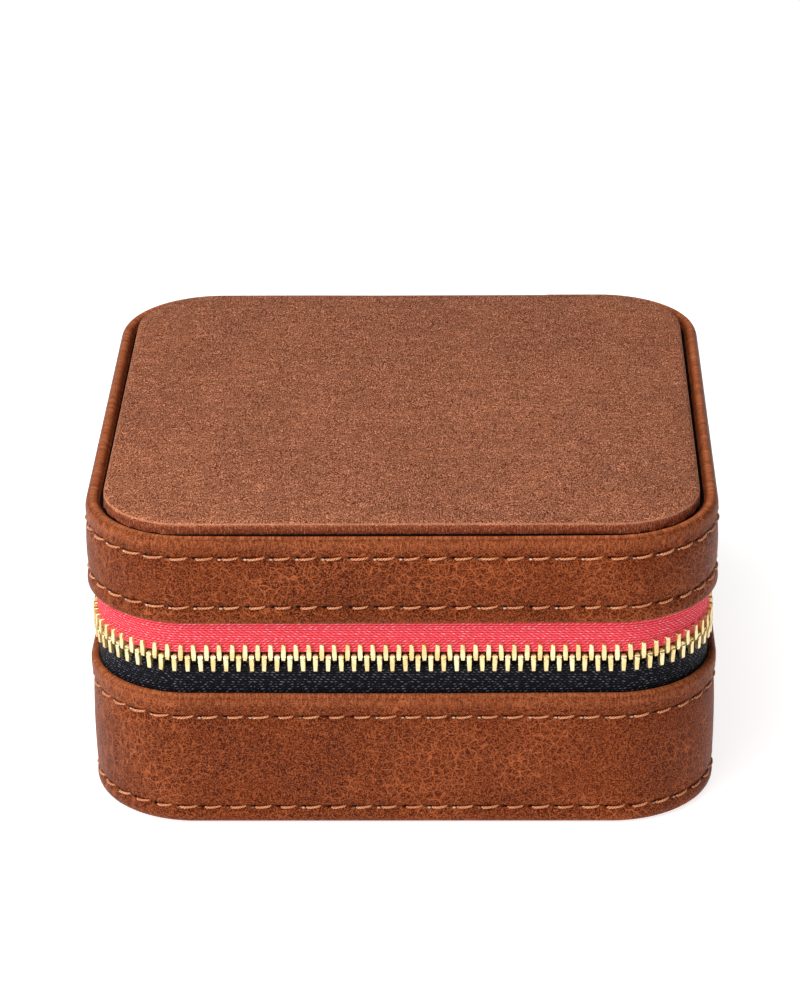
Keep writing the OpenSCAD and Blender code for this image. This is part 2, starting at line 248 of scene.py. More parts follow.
def finish(piece, body, material, slot, *nodes):
    dress(piece, material)
    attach(piece, body)
    if nodes:
        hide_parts(*nodes)
    return piece


# ---- the line round the case, clockwise from the middle of the back

baseLow, baseHigh = boxMm("base_band")
lidLow, lidHigh = boxMm("lid_band")
panelLow, panelHigh = boxMm("lid_top_panel")
spineLow, spineHigh = boxMm("hinge_spine")
upperTape, lowerTape = boxMm("zip_tape_upper"), boxMm("zip_tape_lower")
upperTeeth, lowerTeeth = boxMm("zip_teeth_upper"), boxMm("zip_teeth_lower")
cornerR = 17                                  # the case's upright corners
bandEnd = spineHigh.x + 0.06                  # the bands stop this far from the middle of the back
deckZ = panelLow.z


class Way:
    # a closed line with rounded corners, measured clockwise from the middle of its back
    def __init__(self, half, radius):
        x, y = half[0] - radius, half[1] - radius
        self.radius, self.bend, self.half = radius, math.pi / 2 * radius, half
        self.stretches = [x, self.bend, 2 * y, self.bend, 2 * x, self.bend, 2 * y, self.bend, x]
        self.starts = np.concatenate([[0], np.cumsum(self.stretches)])
        self.girth = self.starts[-1]
        corners = [(x, y), (x, -y), (-x, -y), (-x, y)]
        self.anchors = np.array([(0, y)] + [place for place in corners for turn in range(2)])


def around(s, inset, way=None):
    # places at distance s along a way and set in by inset, with the ways out and ahead
    way = way or caseWay
    s = np.mod(np.asarray(s, float), way.girth + 1e-9)
    k = np.clip(np.searchsorted(way.starts, s, side="right") - 1, 0, 8)
    along = s - way.starts[k]
    corner = k % 2 == 1
    turn = np.radians(90 - 90 * (k // 2)) - np.where(corner, along / way.radius, 0)
    out = np.stack([np.cos(turn), np.sin(turn)], -1)
    ahead = np.stack([out[..., 1], -out[..., 0]], -1)
    reach = np.broadcast_to(way.radius - np.asarray(inset, float), s.shape)
    place = way.anchors[k] + ahead * np.where(corner, 0, along)[..., None] + out * reach[..., None]
    return place, out, ahead


caseWay = Way((baseHigh.x, baseHigh.y), cornerR)
girth = caseWay.girth


def seat(s, inset, z):
    # turns a piece whose x runs along the case, y outwards and z up, and puts it in its place
    place, out, ahead = around(s, inset)
    return Matrix(((ahead[0], out[0], 0, place[0] * mm), (ahead[1], out[1], 0, place[1] * mm),
                   (0, 0, 1, z * mm), (0, 0, 0, 1)))


def line(a, b, count):
    return [(a[0] + (b[0] - a[0]) * i / count, a[1] + (b[1] - a[1]) * i / count) for i in range(count)]


def arc(centre, radius, fromTurn, toTurn, count):
    turns = [math.radians(fromTurn + (toTurn - fromTurn) * i / count) for i in range(count)]
    return [(centre[0] + radius * math.cos(t), centre[1] + radius * math.sin(t)) for t in turns]


def strip(name, section, fromS, toS, step, shape=None, wearAndHighlight=None, way=None):
    # a strip laid flat as a grid, with a row for each point of its section, then wrapped round the case
    section = np.array(section + [section[0]])
    rows, columns = len(section) - 1, round((toS - fromS) / step)
    start()
    bpy.ops.mesh.primitive_grid_add(x_subdivisions=columns, y_subdivisions=rows, size=1)
    piece = named(name)
    mesh = piece.data
    flat = points(piece) * mm
    s = fromS + (flat[:, 0] + 0.5) * (toS - fromS)
    row = np.rint((flat[:, 1] + 0.5) * rows).astype(int)
    inset, z = section[row, 0].copy(), section[row, 1].copy()
    layUv(piece, s, z)
    if wearAndHighlight:
        mesh.attributes.new("wearAndHighlight", "FLOAT", "POINT").data.foreach_set("value", wearAndHighlight(s, inset, z))
    if shape:
        inset, z = shape(s, inset, z)
    movePoints(piece, np.column_stack([around(s, inset, way)[0], z]))
    closed(piece)
    return piece


def layUv(piece, s, z):
    # the pattern's own measure: along the case and up it, in tenths of a metre
    loops = np.zeros(len(piece.data.loops), int)
    piece.data.loops.foreach_get("vertex_index", loops)
    piece.data.uv_layers[0].name = "roundCase"
    piece.data.uv_layers[0].data.foreach_set("uv", np.column_stack([s[loops], z[loops]]).ravel() / 100)


def hump(value, low, high):
    share = np.clip((value - low) / (high - low), 0, 1)
    return np.sin(math.pi * share) ** 0.8


def faceOf(inset, depth=1.0):
    return np.clip(1 - inset / depth, 0, 1)


# ---- materials

def paint(r, g, b):
    def straight(c):
        c = c / 255
        return c / 12.92 if c <= 0.04045 else ((c + 0.055) / 1.055) ** 2.4
    return (straight(r), straight(g), straight(b), 1)


def newGroup(name, takes, gives):
    group = bpy.data.node_groups.new(name, "ShaderNodeTree")
    for label, value in takes.items():
        kind = "NodeSocketVector" if value is None else "NodeSocketFloat"
        socket = group.interface.new_socket(name=label, in_out="INPUT", socket_type=kind)
        if value is not None:
            socket.default_value = value
    for label in gives:
        group.interface.new_socket(name=label, in_out="OUTPUT", socket_type="NodeSocketFloat")
    return group, Bench(group), group.nodes.new("NodeGroupInput").outputs, group.nodes.new("NodeGroupOutput")


class Bench:
    # lays out and wires the nodes of one material or group
    def __init__(self, tree):
        self.tree = tree

    def add(self, kind, wires=None, **settings):
        node = self.tree.nodes.new("ShaderNode" + kind)
        for key, value in settings.items():
            setattr(node, key, value)
        for key, value in (wires or {}).items():
            self.set(node, key, value)
        return node

    def set(self, node, key, value):
        if isinstance(value, bpy.types.NodeSocket):
            self.tree.links.new(value, node.inputs[key])
        else:
            node.inputs[key].default_value = value

    def math(self, operation, a, b=0.0):
        return self.add("Math", {0: a, 1: b}, operation=operation).outputs[0]

    def ramp(self, value, low, high, fromLow=0.0, fromHigh=1.0):
        wires = {"Value": value, "From Min": fromLow, "From Max": fromHigh, "To Min": low, "To Max": high}
        return self.add("MapRange", wires, interpolation_type="SMOOTHSTEP").outputs[0]

    def rise(self, value, fromLow, fromHigh):
        return self.ramp(value, 0.0, 1.0, fromLow, fromHigh)

    def noise(self, vector, scale, detail=3.0, rough=0.5, warp=0.0, **settings):
        wires = {"Vector": vector, "Scale": scale, "Detail": detail, "Roughness": rough, "Distortion": warp}
        return self.add("TexNoise", wires, **settings).outputs[0]

    def cells(self, vector, scale, feature="DISTANCE_TO_EDGE"):
        return self.add("TexVoronoi", {"Vector": vector, "Scale": scale}, feature=feature).outputs["Distance"]

    def mix(self, share, a, b, blend="MIX"):
        node = self.add("Mix", {"Factor": share}, data_type="RGBA", blend_type=blend)
        self.set(node, 6, a)
        self.set(node, 7, b)
        return node.outputs[2]

    def layered(self, colour, layers):
        # lays colours over one another, each by its share
        for share, tone in layers:
            colour = self.mix(share, colour, paint(*tone))
        return colour

    def plus(self, a, b):
        return self.math("ADD", a, b)

    def minus(self, a, b):
        return self.math("SUBTRACT", a, b)

    def times(self, a, b):
        return self.math("MULTIPLY", a, b)

    def over(self, a, b):
        return self.math("DIVIDE", a, b)

    def use(self, group, wires=None):
        node = self.add("Group")
        node.node_tree = group
        for key, value in (wires or {}).items():
            self.set(node, key, value)
        return node


def makeGrain():
    # leather: small pits and creases, fine fibres, pale veins and soft clouds of colour
    group, bench, takes, gives = newGroup(
        "leatherGrain", {"Vector": None, "Cell": 2000.0, "Veins": 1.0}, ["Height", "Vein", "Cloud", "Speck", "Fine"])
    vector, cell = takes["Vector"], takes["Cell"]
    wander = bench.add("TexNoise", {"Vector": vector, "Scale": 420.0, "Detail": 3.0})
    pull = bench.add("VectorMath", {0: wander.outputs["Color"], 1: (0.5, 0.5, 0.5)}, operation="SUBTRACT")
    shift = bench.add("VectorMath", {0: pull.outputs[0], "Scale": 0.0013}, operation="SCALE")
    bent = bench.add("VectorMath", {0: vector, 1: shift.outputs[0]}, operation="ADD").outputs[0]
    crease = bench.rise(bench.cells(bent, cell), 0.0, 0.22)
    wide = bench.rise(bench.cells(bent, bench.times(cell, 0.42)), 0.0, 0.1)
    speck = bench.noise(bent, bench.times(cell, 0.95), 5.0, 0.72)
    fine = bench.noise(bent, bench.times(cell, 1.9), 1.5, 0.8)
    height = bench.plus(bench.times(crease, 0.35), bench.times(wide, 0.2))
    height = bench.plus(height, bench.plus(bench.times(speck, 0.8),
                                                  bench.times(fine, 0.5)))
    patch = bench.rise(bench.noise(vector, 75.0, 3.0, 0.6), 0.45, 0.63)
    thin = bench.noise(bent, bench.times(cell, 0.5), 3.0, 0.6, 0.6)
    small = bench.ramp(bench.math("ABSOLUTE", bench.minus(thin, 0.5)), 1.0, 0.0, 0.0, 0.03)
    large = bench.minus(1.0, bench.rise(bench.cells(bent, bench.times(cell, 0.3)), 0.0, 0.06))
    vein = bench.plus(bench.times(small, bench.plus(bench.times(patch, 0.4), 0.25)),
                      bench.times(large, bench.plus(bench.times(patch, 0.7), 0.3)))
    vein = bench.math("MINIMUM", bench.times(vein, takes["Veins"]), 1.0)
    cloud = bench.noise(vector, 46.0, 5.0, 0.62, 0.6)
    for label, value in (("Height", height), ("Vein", vein), ("Cloud", cloud), ("Speck", speck), ("Fine", fine)):
        bench.set(gives, label, value)
    return group


def makeSeamMarks():
    # a dark awl hole with a small painted glint at the left end of every stitch, and the pressed line between them;
    # the dark of the hole and of the line is painted shade
    group, bench, takes, gives = newGroup(
        "seamMarks", {"Vector": None, "First": 0.0, "Pitch": 4.0, "Seam": 0.0, "Half": 1.5},
        ["Hole", "Glint", "Line"])
    part = bench.add("SeparateXYZ", {0: takes["Vector"]})
    s = bench.times(part.outputs[0], 100.0)
    z = bench.times(part.outputs[1], 100.0)
    step = bench.over(bench.minus(s, takes["First"]), takes["Pitch"])
    share = bench.minus(bench.math("FRACT", bench.plus(step, 0.5)), 0.5)
    along = bench.times(share, takes["Pitch"])
    up = bench.minus(z, takes["Seam"])

    def spot(offset, lift, wide, tall, soft):
        x = bench.over(bench.minus(bench.minus(along, takes["Half"]), offset), wide)
        y = bench.over(bench.minus(up, lift), tall)
        far = bench.math("SQRT", bench.plus(bench.times(x, x), bench.times(y, y)))
        return bench.ramp(far, 1.0, 0.0, 1.0 - soft, 1.0 + soft)

    bench.set(gives, "Hole", spot(0.1, 0.05, 0.42, 0.2, 0.4))
    bench.set(gives, "Glint", spot(0.3, -0.2, 0.24, 0.13, 0.5))
    bench.set(gives, "Line", bench.ramp(bench.math("ABSOLUTE", bench.minus(up, 0.12)), 1.0, 0.0, 0.04, 0.32))
    return group


def makeWeave():
    # tape: slanting ribs of short floats, lying one way above the middle and the other way below
    group, bench, takes, gives = newGroup(
        "tapeWeave", {"Vector": None, "Along": 0.85, "Up": 0.42, "Rows": 1.9}, ["Height", "Fleck"])
    part = bench.add("SeparateXYZ", {0: takes["Vector"]})
    s = bench.times(part.outputs[0], 100.0)
    z = bench.times(part.outputs[1], 100.0)
    lean = bench.math("PINGPONG", z, takes["Rows"])
    jitter = bench.times(bench.noise(takes["Vector"], 90.0, 2.0, 0.6), 0.7)
    wave = bench.plus(bench.over(s, takes["Along"]), bench.over(lean, 0.62))
    rib = bench.math("SINE", bench.times(bench.plus(wave, jitter), 2 * math.pi))
    rows = bench.plus(bench.over(z, takes["Up"]), bench.times(jitter, 0.4))
    course = bench.math("SINE", bench.times(rows, 2 * math.pi))
    height = bench.rise(bench.plus(bench.times(rib, 0.8), course), -1.3, 1.6)
    fuzz = bench.noise(takes["Vector"], 130.0, 3.0, 0.7)
    fleck = bench.times(height, bench.ramp(fuzz, 0.35, 1.0, 0.35, 0.65))
    bench.set(gives, "Height", height)
    bench.set(gives, "Fleck", fleck)
    return group


def makeNap():
    # suede and card: a short uneven nap
    group, bench, takes, gives = newGroup("nap", {"Vector": None, "Fine": 2600.0}, ["Height", "Shade"])
    fine = bench.noise(takes["Vector"], takes["Fine"], 4.0, 0.75)
    soft = bench.noise(takes["Vector"], 90.0, 4.0, 0.6, 0.4)
    bench.set(gives, "Height", fine)
    bench.set(gives, "Shade", bench.plus(bench.times(fine, 0.45), bench.times(soft, 0.55)))
    return group


def newMaterial(name, **shine):
    material = bpy.data.materials.new(name)
    material.use_nodes = True
    tree = material.node_tree
    shader = tree.nodes["Principled BSDF"]
    for key, value in shine.items():
        shader.inputs[key].default_value = value
    bench = Bench(tree)
    place = bench.add("TexCoord").outputs["Object"]
    return material, bench, shader, place


def bumped(bench, shader, height, strength, distance):
    bump = bench.add("Bump", {"Height": height, "Strength": strength, "Distance": distance * mm})
    bench.set(shader, "Normal", bump.outputs[0])


seams = {"first": 27.5, "pitch": 4.0, "half": 1.45, "rise": 0.25}
seamNodes = {"baseLow": "base_stitching_low", "baseHigh": "base_stitching_high",
             "lidLow": "lid_stitching_low", "lidHigh": "lid_stitching_high"}
for row, node in seamNodes.items():
    seams[row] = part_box(node)[0].z / mm + seams["rise"]


def glossyLeather(name, seamRows=(), edgeWearAndHighlight=True):
    material, bench, shader, place = newMaterial(
        name, **{"Specular IOR Level": 0.05, "Coat Weight": 0.02, "Coat Roughness": 0.26})
    grain = bench.use(grainGroup, {"Vector": place, "Cell": 2300.0})
    cloud, vein, speck, fine = (grain.outputs[k] for k in ("Cloud", "Vein", "Speck", "Fine"))
    colour = bench.mix(bench.rise(cloud, 0.34, 0.66), paint(92, 30, 6), paint(116, 43, 9))
    colour = bench.layered(colour, [
        (bench.ramp(speck, 0.0, 0.5, 0.5, 0.66), (156, 74, 32)),
        (bench.ramp(speck, 0.25, 0.0, 0.34, 0.5), (56, 18, 6)),
        (bench.ramp(fine, 0.75, 0.0, 0.4, 0.5), (48, 16, 6)),
        (bench.ramp(fine, 0.0, 0.7, 0.5, 0.6), (170, 92, 52)),
        (bench.times(vein, 0.7), (198, 108, 62))])
    height = grain.outputs["Height"]
    uv = bench.add("UVMap", uv_map="roundCase").outputs[0] if seamRows else place
    if seamRows:
        # upright wrinkles where the leather is pulled round the left corners, with painted highlight along them
        drawn = bench.add("Mapping", {"Vector": uv, "Scale": (1.0, 0.22, 1.0)})
        wrinkleAndHighlight = bench.rise(bench.noise(drawn.outputs[0], 110.0, 4.0, 0.65, 0.8), 0.5, 0.62)
        across = bench.times(bench.add("SeparateXYZ", {0: place}).outputs[0], 1000.0)
        wrinkleAndHighlight = bench.times(wrinkleAndHighlight, bench.ramp(across, 1.0, 0.0, -49.0, -34.0))
        colour = bench.mix(bench.times(wrinkleAndHighlight, 0.4), colour, paint(190, 108, 64))
        height = bench.plus(height, bench.times(wrinkleAndHighlight, 0.8))
    # pale streaks along the folded edges and the rim crest: partly wear, partly painted highlight where the light
    # catches these edges
    if edgeWearAndHighlight:
        wearAndHighlight = bench.add("Attribute", attribute_name="wearAndHighlight").outputs["Fac"]
        combed = bench.add("Mapping", {"Vector": uv, "Scale": (1.0, 0.16, 1.0)})
        comb = bench.noise(combed.outputs[0], 330.0 if seamRows else 3300.0, 3.0, 0.65)
        streak = bench.ramp(comb, 0.25, 1.0, 0.46, 0.6)
        colour = bench.mix(bench.times(wearAndHighlight, streak), colour, paint(206, 120, 76))
    for row in seamRows:
        marks = bench.use(seamGroup, {"Vector": uv, "First": seams["first"], "Pitch": seams["pitch"],
                                      "Seam": seams[row], "Half": seams["half"]})
        # painted shade in the pressed line and in each awl hole
        colour = bench.layered(colour, [
            (bench.times(marks.outputs["Line"], 0.5), (58, 20, 8)),
            (bench.times(marks.outputs["Hole"], 0.95), (14, 6, 4))])
        # a small painted glint by each hole, broken up by noise
        glintBreakup = bench.rise(bench.noise(place, 190.0, 1.0, 0.5), 0.44, 0.58)
        colour = bench.mix(bench.times(marks.outputs["Glint"], glintBreakup), colour, paint(250, 212, 180))
        height = bench.minus(height, bench.times(marks.outputs["Hole"], 1.6))
        height = bench.minus(height, bench.times(marks.outputs["Line"], 0.5))
    bench.set(shader, "Base Color", colour)
    bench.set(shader, "Roughness", bench.ramp(bench.plus(fine, bench.times(cloud, 0.5)),
                                              0.3, 0.55, 0.5, 1.0))
    bumped(bench, shader, height, 0.8, 0.16)
    return material


def mattLeather():
    material, bench, shader, place = newMaterial(
        "topLeather", **{"Specular IOR Level": 0.13, "Sheen Weight": 0.02, "Sheen Roughness": 0.5,
                         "Sheen Tint": paint(235, 200, 190)})
    turned = bench.add("Mapping", {"Vector": place, "Rotation": (0, 0, math.radians(-12)), "Scale": (1.0, 0.55, 1.0)})
    grain = bench.use(grainGroup, {"Vector": turned.outputs[0], "Cell": 3400.0})
    cloud, vein, speck, fine = (grain.outputs[k] for k in ("Cloud", "Vein", "Speck", "Fine"))
    # slanting fold creases, darkened with painted shade
    slant = bench.add("Mapping", {"Vector": place, "Rotation": (0, 0, math.radians(-10)), "Scale": (0.5, 1.3, 1.0)})
    fold = bench.noise(slant.outputs[0], 260.0, 6.0, 0.75, 1.6)
    foldCreaseShade = bench.ramp(bench.math("ABSOLUTE", bench.minus(fold, 0.5)), 1.0, 0.0, 0.0, 0.045)
    colour = bench.mix(bench.rise(cloud, 0.34, 0.66), paint(158, 76, 39), paint(182, 96, 53))
    colour = bench.layered(colour, [
        (bench.ramp(speck, 0.0, 0.55, 0.5, 0.66), (216, 140, 98)),
        (bench.ramp(speck, 0.6, 0.0, 0.36, 0.5), (98, 40, 16)),
        (bench.ramp(fine, 0.0, 0.85, 0.5, 0.6), (238, 170, 134)),
        (bench.ramp(fine, 0.95, 0.0, 0.4, 0.5), (72, 26, 10)),
        (bench.times(vein, 0.16), (112, 54, 32)),
        (bench.times(foldCreaseShade, 0.3), (104, 48, 26))])
    # the panel's edge: a painted highlight along the top lip, painted shade on the side wall below it, and small
    # painted glints on that side
    high = bench.times(bench.add("SeparateXYZ", {0: place}).outputs[2], 1000.0)
    side = bench.ramp(high, 1.0, 0.0, panelHigh.z - 1.3, panelHigh.z - 0.98)
    lip = bench.minus(bench.rise(high, panelHigh.z - 1.1, panelHigh.z - 0.92),
                     bench.rise(high, panelHigh.z - 0.86, panelHigh.z - 0.68))
    colour = bench.layered(colour, [
        (bench.times(lip, 0.6), (226, 150, 112)),
        (bench.times(side, 0.65), (150, 56, 18))])
    ticked = bench.add("Mapping", {"Vector": place, "Scale": (1.0, 1.0, 0.3)})
    glintTick = bench.rise(bench.noise(ticked.outputs[0], 4200.0, 2.0, 0.7), 0.52, 0.62)
    colour = bench.mix(bench.times(bench.times(glintTick, side), 0.6), colour, paint(238, 160, 118))
    bench.set(shader, "Base Color", colour)
    bench.set(shader, "Roughness", bench.minus(bench.ramp(speck, 0.5, 0.66, 0.3, 0.7),
                                              bench.times(side, 0.16)))
    height = bench.minus(grain.outputs["Height"], bench.times(foldCreaseShade, 0.4))
    height = bench.plus(height, bench.times(bench.times(glintTick, side), 0.8))
    bumped(bench, shader, height, 0.8, 0.16)
    return material


def tapeCloth(name, deep, mid, bright):
    material, bench, shader, place = newMaterial(
        name, **{"Specular IOR Level": 0.14, "Sheen Weight": 0.02, "Sheen Roughness": 0.4})
    uv = bench.add("UVMap", uv_map="roundCase").outputs[0]
    weave = bench.use(weaveGroup, {"Vector": uv})
    colour = bench.mix(bench.rise(weave.outputs["Height"], 0.15, 0.6), deep, mid)
    colour = bench.mix(bench.ramp(weave.outputs["Fleck"], 0.0, 0.8, 0.55, 0.95), colour, bright)
    bench.set(shader, "Base Color", colour)
    bench.set(shader, "Roughness", bench.ramp(weave.outputs["Fleck"], 0.75, 0.5, 0.2, 0.9))
    bumped(bench, shader, weave.outputs["Height"], 0.8, 0.14)
    return material


def threadTwist():
    material, bench, shader, place = newMaterial(
        "seamThread", **{"Specular IOR Level": 0.5, "Sheen Weight": 0.15, "Sheen Roughness": 0.35})
    fluff = bench.noise(place, 5200.0, 3.0, 0.7)
    tone = bench.noise(place, 320.0, 2.0, 0.5)
    colour = bench.mix(bench.rise(fluff, 0.35, 0.7), paint(230, 128, 70), paint(255, 200, 150))
    colour = bench.mix(bench.ramp(tone, 0.0, 0.45, 0.4, 0.7), colour, paint(196, 96, 46))
    ply = bench.add("Attribute", attribute_name="ply").outputs["Fac"]
    # darker in the grooves between the plies: painted shade
    colour = bench.mix(bench.ramp(ply, 0.9, 0.0, 0.1, 0.6), colour, paint(126, 52, 22))
    bench.set(shader, "Base Color", colour)
    bench.set(shader, "Roughness", bench.ramp(fluff, 0.42, 0.62, 0.3, 0.7))
    bumped(bench, shader, fluff, 0.5, 0.05)
    return material


def paleBrass(name, dark, light, rough):
    material, bench, shader, place = newMaterial(name, **{"Metallic": 0.86, "Specular IOR Level": 0.6})
    tarnish = bench.noise(place, 420.0, 4.0, 0.6)
    scratch = bench.noise(place, 3600.0, 2.0, 0.6)
    bench.set(shader, "Base Color", bench.mix(bench.rise(tarnish, 0.35, 0.65), dark, light))
    bench.set(shader, "Roughness", bench.ramp(scratch, rough, rough + 0.16, 0.3, 0.7))
    bumped(bench, shader, scratch, 0.25, 0.02)
    return material


def napped(name, deep, bright, fine, rough, strength, distance, **shine):
    material, bench, shader, place = newMaterial(name, **shine)
    nap = bench.use(napGroup, {"Vector": place, "Fine": fine})
    bench.set(shader, "Base Color", bench.mix(bench.rise(nap.outputs["Shade"], 0.35, 0.65), deep, bright))
    bench.set(shader, "Roughness", bench.ramp(nap.outputs["Height"], rough, rough + 0.15, 0.3, 0.7))
    bumped(bench, shader, nap.outputs["Height"], strength, distance)
    return material


def suede(name, deep, bright):
    return napped(name, deep, bright, 3200.0, 0.8, 0.5, 0.12,
                  **{"Specular IOR Level": 0.2, "Sheen Weight": 0.35, "Sheen Roughness": 0.45})


def board(name, deep, bright):
    return napped(name, deep, bright, 1400.0, 0.75, 0.35, 0.08, **{"Specular IOR Level": 0.06})


def mirrorGlass():
    material, bench, shader, place = newMaterial("mirrorGlass", **{"Metallic": 1.0})
    smear = bench.noise(place, 60.0, 4.0, 0.6, 0.8)
    bench.set(shader, "Base Color", bench.mix(smear, paint(222, 230, 232), paint(236, 240, 240)))
    bench.set(shader, "Roughness", bench.ramp(smear, 0.03, 0.09, 0.45, 0.7))
    return material


start()
setCamera()
setLights()
grainGroup, seamGroup, weaveGroup, napGroup = makeGrain(), makeSeamMarks(), makeWeave(), makeNap()
lidLeather = glossyLeather("lidLeather", ("lidLow", "lidHigh"))
baseLeather = glossyLeather("baseLeather", ("baseLow", "baseHigh"))
plainLeather = glossyLeather("plainLeather", edgeWearAndHighlight=False)
topLeather = mattLeather()
coralTape = tapeCloth("coralTape", paint(240, 42, 50), paint(255, 98, 112), paint(255, 188, 210))
navyTape = tapeCloth("navyTape", paint(3, 3, 6), paint(12, 12, 18), paint(118, 118, 136))
seamThread = threadTwist()
brass = paleBrass("zipBrass", paint(236, 204, 138), paint(255, 238, 190), 0.26)
navySuede = suede("navySuede", paint(18, 20, 38), paint(36, 40, 66))
coralSuede = suede("coralSuede", paint(186, 48, 56), paint(226, 84, 88))
greyCard = board("greyCard", paint(150, 128, 98), paint(182, 160, 128))
darkCard = board("darkCard", paint(12, 7, 5), paint(22, 12, 8))
foam = board("paleFoam", paint(214, 206, 188), paint(232, 226, 212))
silvered = mirrorGlass()
print("materials made")


# ---- leather bands

band = {"thick": 1.3, "flange": 6.0, "foot": 1.4, "crease": 0.34, "creaseWide": 0.62, "step": 0.6}


def creased(s, z, row):
    beat = 0.75 - 0.25 * np.cos(2 * math.pi * (s - seams["first"]) / seams["pitch"])
    return band["crease"] * beat * np.exp(-((z - seams[row]) / band["creaseWide"]) ** 2)


def ripple(s, z, size):
    # the leather is never quite flat
    return size * (np.sin(s / 7.3 + 0.6 * np.sin(z / 3.1)) + 0.6 * np.sin(s / 3.9 + z / 4.4 + 1.7)
                   + 0.4 * np.sin(s / 17.0 + 0.9)) / 2


def baseShape(s, inset, z):
    face = faceOf(inset)
    low, high = seams["baseLow"], seams["baseHigh"]
    swell = -0.22 + 0.22 * hump(z, low, high) + 0.3 * hump(z, high, baseHigh.z + 1.5)
    swell = swell + 0.16 * hump(z, 0.6, low) + ripple(s, z, 0.05)
    dent = creased(s, z, "baseLow") + creased(s, z, "baseHigh")
    lift = np.clip((z - seams["baseHigh"]) / 4, 0, 1)
    return inset - face * (swell * np.clip(z / 1.5, 0, 1) - dent), z + 0.07 * lift * np.sin(s / 11.0 + 0.4)


# pales the base band's top edge and the shoulder below it: wear and painted highlight
def baseWearAndHighlight(s, inset, z):
    edge = np.clip(1 - np.abs(z - baseHigh.z + 0.15) / 0.5, 0, 1) * 0.75
    return np.maximum(edge, np.clip(1 - np.abs(z - baseHigh.z + 1.3) / 1.2, 0, 1) * 0.45)


def makeBaseBand():
    top, round_ = baseHigh.z, band["thick"] / 2
    foot, flange, thick = band["foot"], band["flange"], band["thick"]
    section = line((flange, 0), (foot, 0), 4) + arc((foot, foot), foot, 270, 180, 6)
    section += line((0, foot), (0, top - round_), 40)
    section += arc((round_, top - round_), round_, 180, 0, 10)
    section += line((thick, top - round_), (thick, 1.2), 5) + line((thick, 1.2), (flange, 1.2), 2)
    piece = strip("baseBand", section, bandEnd, girth - bandEnd, band["step"], baseShape, baseWearAndHighlight)
    return finish(smoothed(piece), "base", baseLeather, "side_leather", "base_band")


rim = {"outset": 0.1, "inner": 2.45, "top": 50.7, "low": 48.4, "frontDrop": 0.85}


def rimSection(drop):
    # the rolled rim, from its outer foot over the top to its inner foot on the deck
    wide = (rim["inner"] + rim["outset"]) / 2
    middle, tall = rim["inner"] - wide, rim["top"] - rim["low"] - drop
    over = [math.radians(180 - 180 * i / 18) for i in range(19)]
    curve = [(middle + wide * math.cos(t) * (1 if t < math.pi / 2 else abs(math.cos(t)) ** 0.25),
              rim["low"] + tall * math.sin(t) ** 0.8) for t in over]
    return [p for p in curve if p[0] < middle or p[1] > deckZ]


def lidShape(s, inset, z):
    face = faceOf(inset)
    swell = -0.24 + 0.2 * hump(z, seams["lidLow"], seams["lidHigh"]) + 0.3 * hump(z, lidLow.z - 1.5, seams["lidLow"])
    swell = swell + ripple(s + 40, z, 0.05) * np.clip((deckZ - 1 - z) / 3, 0, 1)
    dent = creased(s, z, "lidLow") + creased(s, z, "lidHigh")
    sag = np.clip((seams["lidLow"] - z) / 3, 0, 1)
    low = np.clip((z - deckZ) / 1.2, 0, 1) * rim["frontDrop"] * np.clip(1.2 - np.abs(s - girth / 2) / 80, 0, 1)
    return inset - face * (swell - dent), z + 0.08 * sag * np.sin(s / 13.0 + 2.0) - low


# pales the lid band's lower edge, the rim crest and the face under it: wear and painted highlight
def lidWearAndHighlight(s, inset, z):
    edge = np.clip(1 - np.abs(z - lidLow.z - 0.15) / 0.45, 0, 1) * 0.5
    crest = np.clip(1.3 - np.abs(inset - 1.3) / 0.7, 0, 1) * (z > rim["top"] - 0.6)
    under = np.clip(1 - np.abs(z - rim["top"] + 1.5) / 1.4, 0, 1) * (inset < 0.9) * 0.5
    return np.maximum(np.maximum(edge, crest), under)


def lidSection():
    round_, thick, low = band["thick"] / 2, band["thick"], lidLow.z
    section = line((0, low + round_), (0, rim["low"] - 1.6), 22)
    section += line((0, rim["low"] - 1.6), (-rim["outset"], rim["low"]), 6)
    section += rimSection(0)[1:]
    section += [(rim["inner"], deckZ)] + line((thick, deckZ), (thick, low + round_), 6)
    section += arc((round_, low + round_), round_, 360, 180, 10)
    return section


def makeLidBand():
    piece = strip("lidBand", lidSection(), bandEnd, girth - bandEnd, band["step"], lidShape, lidWearAndHighlight)
    return finish(smoothed(piece), "lid", lidLeather, "side_leather", "lid_band")


makeBaseBand()
makeLidBand()
print("bands wrapped")


# ---- leather spine over the hinge

spine = {"rimDrop": 0.08, "lines": (25.2, 29.4, 33.6), "lineDeep": 0.3, "swell": 0.35, "bend": (24.5, 34.5)}


def spineShape(s, inset, z):
    face = faceOf(inset)
    dent = sum(spine["lineDeep"] * np.exp(-((z - at) / 0.5) ** 2) for at in spine["lines"])
    swell = spine["swell"] * hump(z, baseHigh.z, lidLow.z) + 0.12 * hump(z, 2, 22) + ripple(s, z, 0.06)
    sides = np.clip((spineHigh.x - np.abs(s)) / 1.2, 0, 1) ** 0.5
    return inset - face * ((swell + 0.25) * sides - 0.2 - dent), z


# pales the spine along its fold lines and below its rim: wear and painted highlight
def spineWearAndHighlight(s, inset, z):
    folds = sum(np.exp(-((z - at - 0.6) / 0.35) ** 2) for at in spine["lines"])
    return np.clip(folds * 0.35 + np.clip(1 - np.abs(z - rim["top"] + 0.7) / 0.5, 0, 1) * 0.6, 0, 1)


def bending(piece, material, node):
    # dresses a piece of the hinge, bakes its place into its mesh and hides the part it replaces
    dress(smoothed(piece), material)
    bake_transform(piece)
    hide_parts(node)


